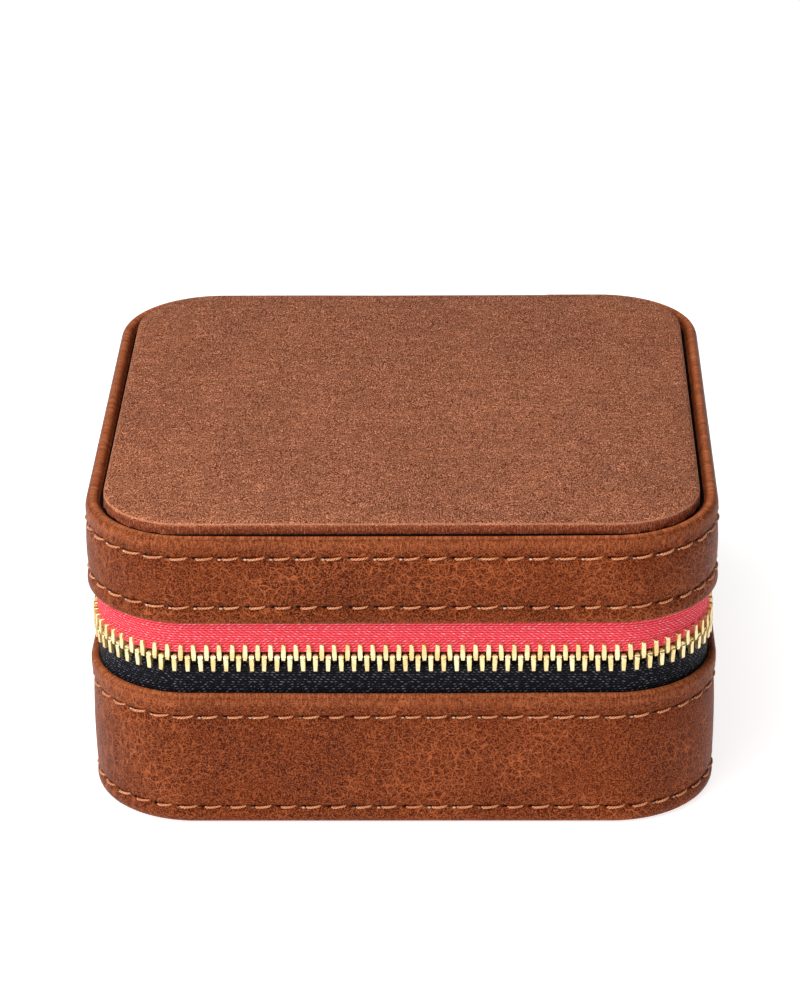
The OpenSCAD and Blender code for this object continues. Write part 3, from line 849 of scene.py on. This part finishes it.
def makeSpine():
    foot, flange, thick = band["foot"], band["flange"], band["thick"]
    section = line((flange, 0), (foot, 0), 4) + arc((foot, foot), foot, 270, 180, 6)
    section += line((0, foot), (0, rim["low"] - 0.6), 90) + rimSection(spine["rimDrop"])[2:]
    section += [(rim["inner"], deckZ)] + line((thick, deckZ), (thick, 1.2), 40) + line((thick, 1.2), (flange, 1.2), 2)
    piece = strip("hingeSpine", section, -spineHigh.x, spineHigh.x, 0.8, spineShape, spineWearAndHighlight)
    bending(piece, spineLeather, "hinge_spine")


def makeHingeTape():
    low, high = boxMm("hinge_tape")
    section = line((1.35, low.z), (1.35, high.z), 52) + line((1.85, high.z), (1.85, low.z), 52)
    piece = strip("hingeTape", section, -spineHigh.x + 0.1, spineHigh.x - 0.1, 2.0)
    bending(piece, navyTape, "hinge_tape")


spineLeather = glossyLeather("spineLeather")
makeSpine()
makeHingeTape()
print("spine made")


# ---- stitching

stitch = {"long": 3.0, "thick": 0.34, "sides": 8, "rings": 20, "turns": 3.2, "slant": 0.32, "rise": 0.16,
          "depth": 0.27, "hingeDepth": 0.12, "hingeAside": 1.9}


def makeStitch():
    # one stitch of two-ply thread: out of its hole at the left, along the crease and down again
    start()
    rings, sides = stitch["rings"], stitch["sides"]
    bpy.ops.mesh.primitive_grid_add(x_subdivisions=rings, y_subdivisions=sides, size=1)
    piece = named("stitch")
    flat = points(piece) * mm
    ply = np.cos(2 * (flat[:, 1] - flat[:, 0] * stitch["turns"]) * 2 * math.pi)
    piece.data.attributes.new("ply", "FLOAT", "POINT").data.foreach_set("value", ply * 0.5 + 0.5)
    t, turn = flat[:, 0] + 0.5, (flat[:, 1] + 0.5) * 2 * math.pi
    end = np.clip(np.minimum(t / 0.1, (1 - t) / 0.16), 0.02, 1) ** 0.5
    radius = stitch["thick"] / 2 * (1 + 0.24 * ply) * end
    ride = stitch["rise"] * np.sin(math.pi * np.clip(t * 1.1, 0, 1)) ** 0.6 - 0.5 * t ** 6 - 0.4 * (1 - t) ** 9
    x = stitch["long"] * (0.5 - t)
    z = stitch["slant"] * (t - 0.5) + radius * np.sin(turn)
    movePoints(piece, np.column_stack([x, ride + radius * np.cos(turn), z]))
    return smoothed(closed(piece), 60)


def sewn(name, places, body, *nodes):
    # copies the stitch to each place and makes one piece of them
    made = []
    for place in places:
        small = Matrix.Rotation(math.radians(luck.uniform(-2.5, 2.5)), 4, "Y")
        stretch = Matrix.Diagonal((luck.uniform(0.92, 1.05), 1, luck.uniform(0.95, 1.05), 1))
        made.append(copied(oneStitch, place @ small @ stretch))
    piece = joined(made, name)
    return finish(piece, body, seamThread, "thread", *nodes)


def rowPlaces(row):
    count = int((girth - 2 * seams["first"]) // seams["pitch"]) + 1
    return [seat(seams["first"] + seams["pitch"] * i, stitch["depth"], seams[row]) for i in range(count)]


def hingePlaces(low, high):
    count = int((high - low - stitch["long"]) // seams["pitch"]) + 1
    begin = (low + high - (count - 1) * seams["pitch"]) / 2
    upright = Matrix.Rotation(math.radians(90), 4, "Y")
    aside = spineHigh.x + stitch["hingeAside"]
    return [seat(side * aside, stitch["hingeDepth"], begin + i * seams["pitch"]) @ upright
            for side in (-1, 1) for i in range(count)]


luck = random.Random(5)
oneStitch = makeStitch()
for name, row, body in (("lidStitchingHigh", "lidHigh", "lid"), ("lidStitchingLow", "lidLow", "lid"),
                        ("baseStitchingHigh", "baseHigh", "base"), ("baseStitchingLow", "baseLow", "base")):
    sewn(name, rowPlaces(row), body, seamNodes[row])
sewn("hingeStitchingBase", hingePlaces(1.6, baseHigh.z - 0.6), "base", "hinge_stitching_base")
sewn("hingeStitchingLid", hingePlaces(lidLow.z + 0.6, deckZ + 0.2), "lid", "hinge_stitching_lid")
print("seams sewn")


# ---- zip tapes, teeth and stops

zipMiddle = (upperTeeth[0].z + lowerTeeth[1].z) / 2
chainIn = 1.6                                 # depth of the middle of the tapes
tape = {"thick": 0.56, "step": 1.0, "cord": 0.18, "cordWide": 0.45, "cordIn": 0.4, "rows": 16}


def tapeSection(low, high, cordZ):
    # flat tape with a cord woven into the edge that holds the teeth
    half, rows = tape["thick"] / 2, tape["rows"]

    def cord(z):
        return tape["cord"] * math.exp(-((z - cordZ) / tape["cordWide"]) ** 2)

    outer = line((chainIn - half, low), (chainIn - half, high), rows)
    inner = line((chainIn + half, high), (chainIn + half, low), rows)
    return [(i - cord(z), z) for i, z in outer] + [(i + cord(z), z) for i, z in inner]


def makeTapes():
    for name, box, edge, lift, body, material, slot, node in (
            ("zipTapeUpper", upperTape, 0, 1, "lid", coralTape, "coral_tape", "zip_tape_upper"),
            ("zipTapeLower", lowerTape, 1, -1, "base", navyTape, "navy_tape", "zip_tape_lower")):
        section = tapeSection(box[0].z, box[1].z, box[edge].z + lift * tape["cordIn"])
        piece = strip(name, section, bandEnd, girth - bandEnd, tape["step"])
        finish(smoothed(piece), body, material, slot, node)


tooth = {"wide": 0.8, "thick": 2.1, "pitch": 2.0, "head": 0.5, "edge": 0.08, "reach": 0.22, "lean": 2.2,
         "first": 32.725, "stopShort": 3.2,
         "flat": ((0.3, 1.0, 1.0), (0.2, 0.8, 0.85)), "knob": ((0.1, 1.42, 0.9), (0.22, 1.0, 1.0), (0.18, 0.5, 0.7))}


def makeTooth(head):
    # a flat bar with a head that locks into the other row, pointing up
    low, high = lowerTeeth[0].z - zipMiddle, lowerTeeth[1].z - zipMiddle + tooth["reach"]
    wide, thick = tooth["wide"] / 2, tooth["thick"] / 2
    piece = cubeBetween("tooth", (-wide, -thick, low), (wide, thick, high - tooth["head"]))
    edit(piece)
    pick(piece, "FACE", lambda at, way: way.z < -0.9)
    bpy.ops.transform.resize(value=(0.86, 0.9, 1))
    start()
    bevelled(piece, tooth["edge"], 1)
    edit(piece)
    pick(piece, "FACE", lambda at, way: way.z > 0.9)
    bpy.ops.mesh.inset(thickness=0.03 * mm)
    for rise, across, deep in head:
        bpy.ops.mesh.extrude_region_move(TRANSFORM_OT_translate={"value": (0, 0, rise * mm)})
        bpy.ops.transform.resize(value=(across, deep, 1))
    return smoothed(piece, 38)


def makeTeeth():
    flip = Matrix.Rotation(math.pi, 4, "Y")
    for name, node, turn, offset, body in (("zipTeethUpper", "zip_teeth_upper", flip, 0, "lid"),
                                           ("zipTeethLower", "zip_teeth_lower", Matrix(), 1, "base")):
        one = makeTooth(tooth["flat" if body == "lid" else "knob"])
        made = []
        for place in toothPlaces(offset):
            lean = Matrix.Rotation(math.radians(luck.uniform(-tooth["lean"], tooth["lean"])), 4, "Y")
            made.append(copied(one, place @ lean @ turn))
        finish(joined(made, name), body, brass, "zip_brass", node)
        bpy.data.objects.remove(one)


def toothPlaces(offset):
    # the rows are spaced along the middle of the tape, so the steps are longer on the outside of a corner
    middle = [length - chainIn * math.pi / 2 * (k % 2) for k, length in enumerate(caseWay.stretches)]
    bends = np.concatenate([[0], np.cumsum(middle)])
    last = bends[-1] - spineHigh.x - tooth["stopShort"]
    at = np.arange(tooth["first"] + offset, last, tooth["pitch"])
    return [seat(s, chainIn, zipMiddle) for s in np.interp(at, bends, caseWay.starts)]


def makeStops():
    for name, node, body in (("zipStopUpper", "zip_stop_closed_upper", "lid"),
                             ("zipStopLower", "zip_stop_closed_lower", "base"),
                             ("zipStopOpen", "zip_stop_open", "base")):
        low, high = boxMm(node)
        piece = bevelled(cubeBetween(name, low, high), 0.28, 3)
        edit(piece)
        pick(piece, "FACE", lambda at, way: way.y > 0.99)
        bpy.ops.mesh.inset(thickness=0.18 * mm, depth=-0.08 * mm)
        finish(smoothed(piece), body, brass, "zip_brass", node)


makeTapes()
makeTeeth()
makeStops()
print("zip made")


# ---- padded leather panel on the lid

pad = {"half": panelHigh.x + 0.03, "top": panelHigh.z - 0.33, "corner": 13.6, "edge": 0.35,
       "forward": 0.22, "tilt": -0.08, "voxel": 0.9, "cap": 0.24, "pressure": 4.0}


def puffed(piece, pad, held):
    # swells a closed shape as air-filled cloth, at ten times its size, and caps how far it may move
    grow = 10
    choose(piece)
    piece.data.transform(Matrix.Scale(grow, 4))
    piece.data.remesh_voxel_size = pad["voxel"] * grow * mm
    bpy.ops.object.voxel_remesh()
    before = points(piece)
    piece.vertex_groups.new(name="held").add([i for i, at in enumerate(before / grow) if held(at)], 1, "REPLACE")
    cloth = piece.modifiers.new("cloth", "CLOTH")
    cloth.settings.use_pressure = True
    cloth.settings.uniform_pressure_force = pad["pressure"]
    cloth.settings.vertex_group_mass = "held"
    cloth.settings.effector_weights.gravity = 0
    for step in range(1, 21):
        bpy.context.scene.frame_set(step)
    bpy.ops.object.modifier_apply(modifier=cloth.name)
    bpy.context.scene.frame_set(1)
    piece.vertex_groups.clear()
    move = (points(piece) - before) / grow
    far = np.linalg.norm(move, axis=1)[:, None]
    movePoints(piece, before / grow + move * np.minimum(1, pad["cap"] / np.maximum(far, 1e-6)))
    applied(piece, "SUBSURF", levels=1, render_levels=1)
    return smoothed(piece, 80)


def makePanel():
    half = pad["half"]
    piece = cubeBetween("lidPanel", (-half, -half, deckZ), (half, half, pad["top"]))
    bevelled(piece, pad["corner"], 12, lambda at, way: abs(way.z) > 0.9)
    bevelled(piece, pad["edge"], 2, lambda at, way: at.z > pad["top"] - 0.01)
    puffed(piece, pad, lambda at: at[2] < deckZ + 0.3)
    co = points(piece)
    co[:, 2] = np.maximum(co[:, 2], deckZ + 0.01)
    co[:, 1] -= pad["forward"]
    top = np.clip((co[:, 2] - pad["top"] + 0.5) / 0.5, 0, 1)
    co[:, 2] -= top * pad["tilt"] * co[:, 1] / pad["half"]
    x, y = co[:, 0], co[:, 1]
    co[:, 2] += top * 0.1 * (np.sin(x / 9 + 0.7) * np.sin(y / 11 + 0.3) + 0.4 * np.sin(y / 5 + x / 16))
    movePoints(piece, co)
    return finish(piece, "lid", topLeather, "top_leather", "lid_top_panel")


makePanel()
print("panel padded")


# ---- ring rolls, their bed and the dividers

roll = {"voxel": 1.1, "cap": 0.4, "pressure": 4.0, "slim": 0.35}


def makeRoll(number):
    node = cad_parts["ring_roll_" + str(number)]
    low, high = boxMm(node.name)
    piece = node.copy()
    piece.data = node.data.copy()
    bpy.context.scene.collection.objects.link(piece)
    piece.parent = None
    piece.matrix_world = Matrix()
    piece.name = "ringRoll" + str(number)
    piece.data.transform(node.matrix_world)
    edit(piece)
    pickAll()
    bpy.ops.mesh.remove_doubles(threshold=0.005 * mm)
    start()
    middle, size = (low + high) / 2, high - low
    slim = np.array([1 - 2 * roll["slim"] / size.x, 1 - 2 * roll["slim"] / size.y, 1 - roll["slim"] / size.z])
    foot = np.array([middle.x, middle.y, low.z])
    movePoints(piece, foot + (points(piece) - foot) * slim)
    puffed(piece, roll, lambda at: at[2] < low.z + 0.4)
    co = points(piece)
    share = np.clip((co[:, 2] - low.z - 6) / 5, 0, 1)
    co[:, 2] += share * 0.12 * np.sin(co[:, 1] / 6.5 + number * 1.9)
    movePoints(piece, co)
    return finish(piece, "base", navySuede, "base_suede", node.name)


def wrapped(name, node, edge, pillow, across):
    # a board wrapped in suede: rounded edges, faces that swell a little
    low, high = boxMm(node)
    piece = cubeBetween(name, low, high)
    bevelled(piece, edge, 4)
    edit(piece)
    pick(piece, "FACE", lambda at, way: abs(way[across]) > 0.99)
    bpy.ops.mesh.inset(thickness=edge * 0.8 * mm, use_individual=True)
    pickAll()
    bpy.ops.mesh.subdivide(number_cuts=3)
    start()
    co, middle = points(piece), np.array((low + high) / 2)
    reach = np.array((high - low) / 2)
    share = np.abs(co - middle) / reach
    room = np.prod([1 - share[:, k] ** 4 for k in range(3) if k != across], axis=0)
    co[:, across] += np.sign(co[:, across] - middle[across]) * (pillow * room - pillow) * (share[:, across] > 0.5)
    movePoints(piece, co)
    return finish(smoothed(piece, 60), "base", navySuede, "base_suede", node)


for number in (1, 2, 3):
    makeRoll(number)
wrapped("longDivider", "long_divider", 0.8, 0.15, 0)
wrapped("crossDivider", "cross_divider", 0.8, 0.15, 1)
wrapped("ringBed", "ring_bed", 0.3, 0.1, 2)
print("rolls and dividers made")


# ---- linings

inner = {"face": 6.3, "back": 5.72, "fold": 4.52, "foldTall": 0.58}


def liningWave(s, inset, z):
    wave = 0.05 * np.sin(s / 5.1) * np.sin(z / 4.3) + 0.03 * np.sin(s / 2.3 + z)
    return inset + (inset > inner["face"] - 0.1) * wave, z


def lidLiningWave(s, inset, z):
    # round the back the lining is shorter, so that the lid can fold
    inset, z = liningWave(s, inset, z)
    reach = caseWay.starts[2]
    off = np.minimum(s, girth - s)
    rise = np.clip((reach + 1 - off) / 2, 0, 1) * (lidLow.z - lidLining[0].z)
    top = lidLining[1].z
    return inset, z + rise * (top - z) / (top - lidLining[0].z)


def makeLinings():
    low, high = boxMm("base_wall_lining")
    face, back, fold, tall = (inner[k] for k in ("face", "back", "fold", "foldTall"))
    top = high.z - tall / 2
    section = line((face, low.z), (face, top), 12) + arc((face - tall / 2, top), tall / 2, 0, 90, 4)
    section += arc((fold + tall / 2, top), tall / 2, 90, 270, 8) + [(back, high.z - tall), (back, low.z)]
    piece = strip("baseWallLining", section, 0, girth, 1.2, liningWave)
    finish(smoothed(piece), "base", navySuede, "base_suede", "base_wall_lining")
    low, high = lidLining
    foot = low.z + tall / 2
    section = line((back, high.z), (back, low.z + tall), 6) + arc((fold + tall / 2, foot), tall / 2, 90, 270, 8)
    section += arc((face - tall / 2, foot), tall / 2, 270, 360, 4)
    section += line((face, foot), (face, high.z), 10) + [(face, high.z)]
    piece = strip("lidWallLining", section, 0, girth, 1.2, lidLiningWave)
    finish(smoothed(piece), "lid", coralSuede, "lid_suede", "lid_wall_lining")


def roundedSheet(name, node, inset, wave, count=56):
    # a grid drawn out to a rounded square, then given its thickness
    low, high = boxMm(node)
    way = Way((baseHigh.x - inset, baseHigh.y - inset), cornerR - inset)
    start()
    bpy.ops.mesh.primitive_grid_add(x_subdivisions=count, y_subdivisions=count, size=2)
    piece = named(name)
    flat = points(piece)[:, :2] * mm
    size = np.abs(flat).max(axis=1)
    aim = flat / np.maximum(np.linalg.norm(flat, axis=1), 1e-9)[:, None]
    half = np.array(way.half)
    edge = (half / np.maximum(np.abs(aim), 1e-9)).min(axis=1)
    centre = half - way.radius
    along = (np.abs(aim) * centre).sum(axis=1)
    bend = along + np.sqrt(np.maximum(along ** 2 - (centre ** 2).sum() + way.radius ** 2, 0))
    cut = (np.abs(aim) * edge[:, None] > centre).all(axis=1)
    place = aim * (np.where(cut, bend, edge) * size)[:, None]
    x, y = place.T
    lift = wave * (1 - size ** 8) * (np.sin(x / 8 + 1) * np.sin(y / 9.5) + 0.4 * np.sin(x / 3.7))
    movePoints(piece, np.column_stack([place, np.full(len(place), (low.z + high.z) / 2) + lift]))
    applied(piece, "SOLIDIFY", thickness=(high.z - low.z) * mm, offset=0)
    applied(piece, "BEVEL", width=0.12 * mm, segments=2, limit_method="ANGLE", angle_limit=math.radians(50))
    return smoothed(piece)


lidLining = boxMm("lid_wall_lining")
makeLinings()
for name, node, inset, wave, body, material, slot in (
        ("baseFloorLining", "base_floor_lining", 6.32, 0.05, "base", navySuede, "base_suede"),
        ("lidCeilingLining", "lid_ceiling_lining", 6.32, 0.05, "lid", coralSuede, "lid_suede"),
        ("bottomPanel", "base_bottom_panel", 6.22, 0.0, "base", plainLeather, "side_leather")):
    finish(roundedSheet(name, node, inset, wave), body, material, slot, node)
print("linings made")


# ---- mirror frame

def makeMirrorFrame():
    low, high = boxMm("mirror_frame")
    glassLow, glassHigh = boxMm("mirror_glass")
    way = Way((high.x, high.y), 9)
    wide, step = high.x - glassHigh.x, high.x - glassHigh.x + 1.5
    section = [(0, high.z), (0, low.z + 0.7), (0.2, low.z + 0.25), (0.7, low.z)]
    section += [(0.7 + (step - 1.4) * i / 8, low.z + 0.12 - 0.22 * math.sin(math.pi * i / 8)) for i in range(1, 8)]
    section += [(step - 0.7, low.z + 0.05), (step - 0.2, low.z + 0.3), (step, low.z + 0.7), (step, glassLow.z - 0.02),
                (wide + 0.02, glassLow.z - 0.02), (wide + 0.02, high.z)]
    piece = strip("mirrorFrame", section, 0, way.girth, 1.0, way=way)
    return finish(smoothed(piece, 60), "lid", plainLeather, "side_leather", "mirror_frame")


makeMirrorFrame()
print("mirror framed")


# ---- slider, link and leather pull, in the slider's own measure: x along, y out, z up

sliderLow, sliderHigh = boxMm("slider_body")
linkLow, linkHigh = boxMm("pull_link")
sliderAt = ((sliderLow.x + sliderHigh.x) / 2, sliderLow.y + 2.3, (sliderLow.z + sliderHigh.z) / 2)
slider = {"half": 2.3, "plate": 0.8, "long": 9.0, "wide": 3.85, "tail": 3.35, "flange": 1.1, "slot": 0.75,
          "crownX": 2.7, "crownWide": 0.6, "crownTop": 5.0, "crownUnder": 4.35}


def slab(name, outline, low, high, edge, segments=3):
    # an outline drawn flat, pushed up to its thickness, with its rims rounded
    start()
    bpy.ops.mesh.primitive_circle_add(vertices=len(outline), radius=1, fill_type="NGON")
    piece = named(name)
    movePoints(piece, [(x, y, low) for x, y in outline])
    edit(piece)
    pickAll()
    bpy.ops.mesh.extrude_region_move(TRANSFORM_OT_translate={"value": (0, 0, (high - low) * mm)})
    facedOut(piece)
    if edge:
        bevelled(piece, edge, segments, lambda at, way: abs(way.z) < 0.1)
    return piece


def standing(piece):
    # tips a slab up, so that its thickness lies along y
    piece.data.transform(Matrix.Rotation(math.radians(90), 4, "X"))
    return piece


def putAt(piece, place):
    piece.data.transform(Matrix.Translation(Vector(place) * mm))
    return piece


def makeSlider():
    end, wide, tail, half = slider["long"] / 2, slider["wide"], slider["tail"], slider["half"]
    outline = [(-end, -wide + 0.6), (-end + 1.2, -wide), (0.5, -wide), (end, -tail),
               (end, tail), (0.5, wide), (-end + 1.2, wide), (-end, wide - 0.6)]
    parts = []
    for side in (-1, 1):
        a, b = sorted((-side * half, -side * (half - slider["plate"])))
        parts.append(standing(slab("sliderPlate", outline, a, b, 0.26)))
        for up in (-1, 1):
            edge = wide - slider["flange"]
            lip = [(-end + 1.1, up * wide), (0.5, up * wide), (end - 0.1, up * tail),
                   (end - 0.1, up * (tail - slider["flange"])), (0.5, up * edge), (-end + 1.1, up * edge)]
            c, d = sorted((-side * (half - 0.4), -side * slider["slot"]))
            parts.append(standing(slab("sliderLip", lip, c, d, 0.12, 2)))
    wedge = [(-end + 0.3, -0.9), (-1, -0.2), (-1, 0.2), (-end + 0.3, 0.9)]
    parts.append(standing(slab("sliderWedge", wedge, -half + 0.4, half - 0.4, 0)))
    post, top, under = slider["crownX"] + slider["crownWide"], slider["crownTop"], slider["crownUnder"]
    inside = slider["crownX"] - slider["crownWide"]
    foot = half - 0.3
    arch = [(post, foot)] + arc((post - 1.0, top - 1.0), 1.0, 0, 90, 5) + [(post - 1.0, top), (-post + 1.0, top)]
    arch += arc((-post + 1.0, top - 1.0), 1.0, 90, 180, 5)[1:] + [(-post, top - 1.0), (-post, foot)]
    arch += [(-inside, foot), (-inside, under - 0.3), (-inside + 0.3, under), (inside - 0.3, under),
             (inside, under - 0.3), (inside, foot)]
    parts.append(slab("sliderCrown", arch, -0.8, 0.8, 0.22))
    piece = putAt(joined(parts, "sliderBody"), sliderAt)
    return finish(smoothed(piece), "slider", brass, "zip_brass", "slider_body")


def drilled(piece, cutter):
    applied(piece, "BOOLEAN", operation="DIFFERENCE", object=cutter, solver="EXACT")
    bpy.data.objects.remove(cutter)
    return piece


def makeLink():
    # a flat brass loop: a round eye at the top and a slot at its foot that holds the leather
    eye = ((linkLow.x + linkHigh.x) / 2, (linkLow.y + linkHigh.y) / 2, linkHigh.z - 1.7)
    thick = linkHigh.y - linkLow.y
    outline = arc((0, 0), 1.7, -42, 222, 18)
    outline += [(-1.3, -2), (-3.4, -4.5), (-3.4, -7.7), (-3.1, -8), (3.1, -8), (3.4, -7.7), (3.4, -4.5), (1.3, -2)]
    piece = slab("pullLink", outline, -thick / 2, thick / 2, 0)
    start()
    bpy.ops.mesh.primitive_cylinder_add(vertices=28, radius=0.9 * mm, depth=4 * mm)
    drilled(piece, bpy.context.active_object)
    drilled(piece, cubeBetween("slot", (-2.55, -7.2, -2), (2.55, -5.5, 2)))
    applied(piece, "BEVEL", width=0.16 * mm, segments=3, limit_method="ANGLE", angle_limit=math.radians(50))
    putAt(standing(piece), eye)
    return finish(smoothed(piece), "link", brass, "zip_brass", "pull_link")


tab = {"wide": 4.6, "long": 14.5, "thick": 0.52, "bar": 0.9, "gap": 0.3, "round": 1.3}


def makeTab():
    # a strip of leather folded over the link's bar, glued to itself and stitched once across
    low, high = boxMm("pull_tab")
    bar = ((low.x + high.x) / 2, (low.y + high.y) / 2, low.z + tab["long"])
    gap, loop, end = tab["gap"], tab["bar"], -tab["long"] + 0.05
    path = line((gap, end), (gap, -1.4), 18) + line((gap, -1.4), (loop, -0.1), 3)
    path += arc((0, 0), loop, 0, 180, 12) + line((-loop, -0.1), (-gap, -1.4), 3)
    path = np.array(path + line((-gap, -1.4), (-gap, end), 18) + [(-gap, end)])
    start()
    bpy.ops.mesh.primitive_grid_add(x_subdivisions=10, y_subdivisions=len(path) - 1, size=1)
    piece = named("pullTab")
    flat = points(piece) * mm
    row = np.rint((flat[:, 1] + 0.5) * (len(path) - 1)).astype(int)
    y, z = path[row, 0], path[row, 1]
    near = np.clip((z + tab["long"]) / tab["round"], 0, 1)
    wide = tab["wide"] / 2 - tab["round"] * (1 - np.sqrt(1 - (1 - near) ** 2))
    movePoints(piece, np.column_stack([flat[:, 0] * 2 * wide, y, z]))
    facedOut(piece)
    applied(piece, "SOLIDIFY", thickness=tab["thick"] * mm, offset=0)
    applied(piece, "BEVEL", width=0.12 * mm, segments=2, limit_method="ANGLE", angle_limit=math.radians(50))
    putAt(piece, bar)
    finish(smoothed(piece), "tab", plainLeather, "side_leather", "pull_tab")
    short = Matrix.Diagonal((0.36, 1, 1, 1))
    made = []
    for side, turn in ((1, Matrix()), (-1, Matrix.Rotation(math.pi, 4, "Z"))):
        for x in (-1.3, 0, 1.3):
            at = Vector((bar[0] + x, bar[1] + side * (tab["gap"] + tab["thick"] / 2 - 0.1), bar[2] - 2.3)) * mm
            made.append(copied(oneStitch, Matrix.Translation(at) @ turn @ short))
    return finish(joined(made, "tabStitching"), "tab", seamThread, "thread")


makeSlider()
makeLink()
makeTab()
bpy.data.objects.remove(oneStitch)
print("slider and pull made")

remaining = {"lid_wall_board": greyCard, "lid_top_board": darkCard, "base_wall_board": greyCard,
             "base_floor_board": greyCard, "base_collar": greyCard, "lid_collar": greyCard,
             "lid_pad_foam": foam, "mirror_glass": silvered}
for node, material in remaining.items():
    dress(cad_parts[node], material)


# ---- floor

def makeFloor():
    start()
    bpy.ops.mesh.primitive_plane_add(size=6, location=(0, 0, -0.0002))
    floor = named("floor")
    material, bench, shader, place = newMaterial("paleFloor", **{"Roughness": 0.9, "Specular IOR Level": 0.1})
    shader.inputs["Emission Color"].default_value = (1, 1, 1, 1)
    shader.inputs["Emission Strength"].default_value = 0.8
    bench.set(shader, "Base Color", paint(205, 205, 205))
    floor.data.materials.append(material)


makeFloor()
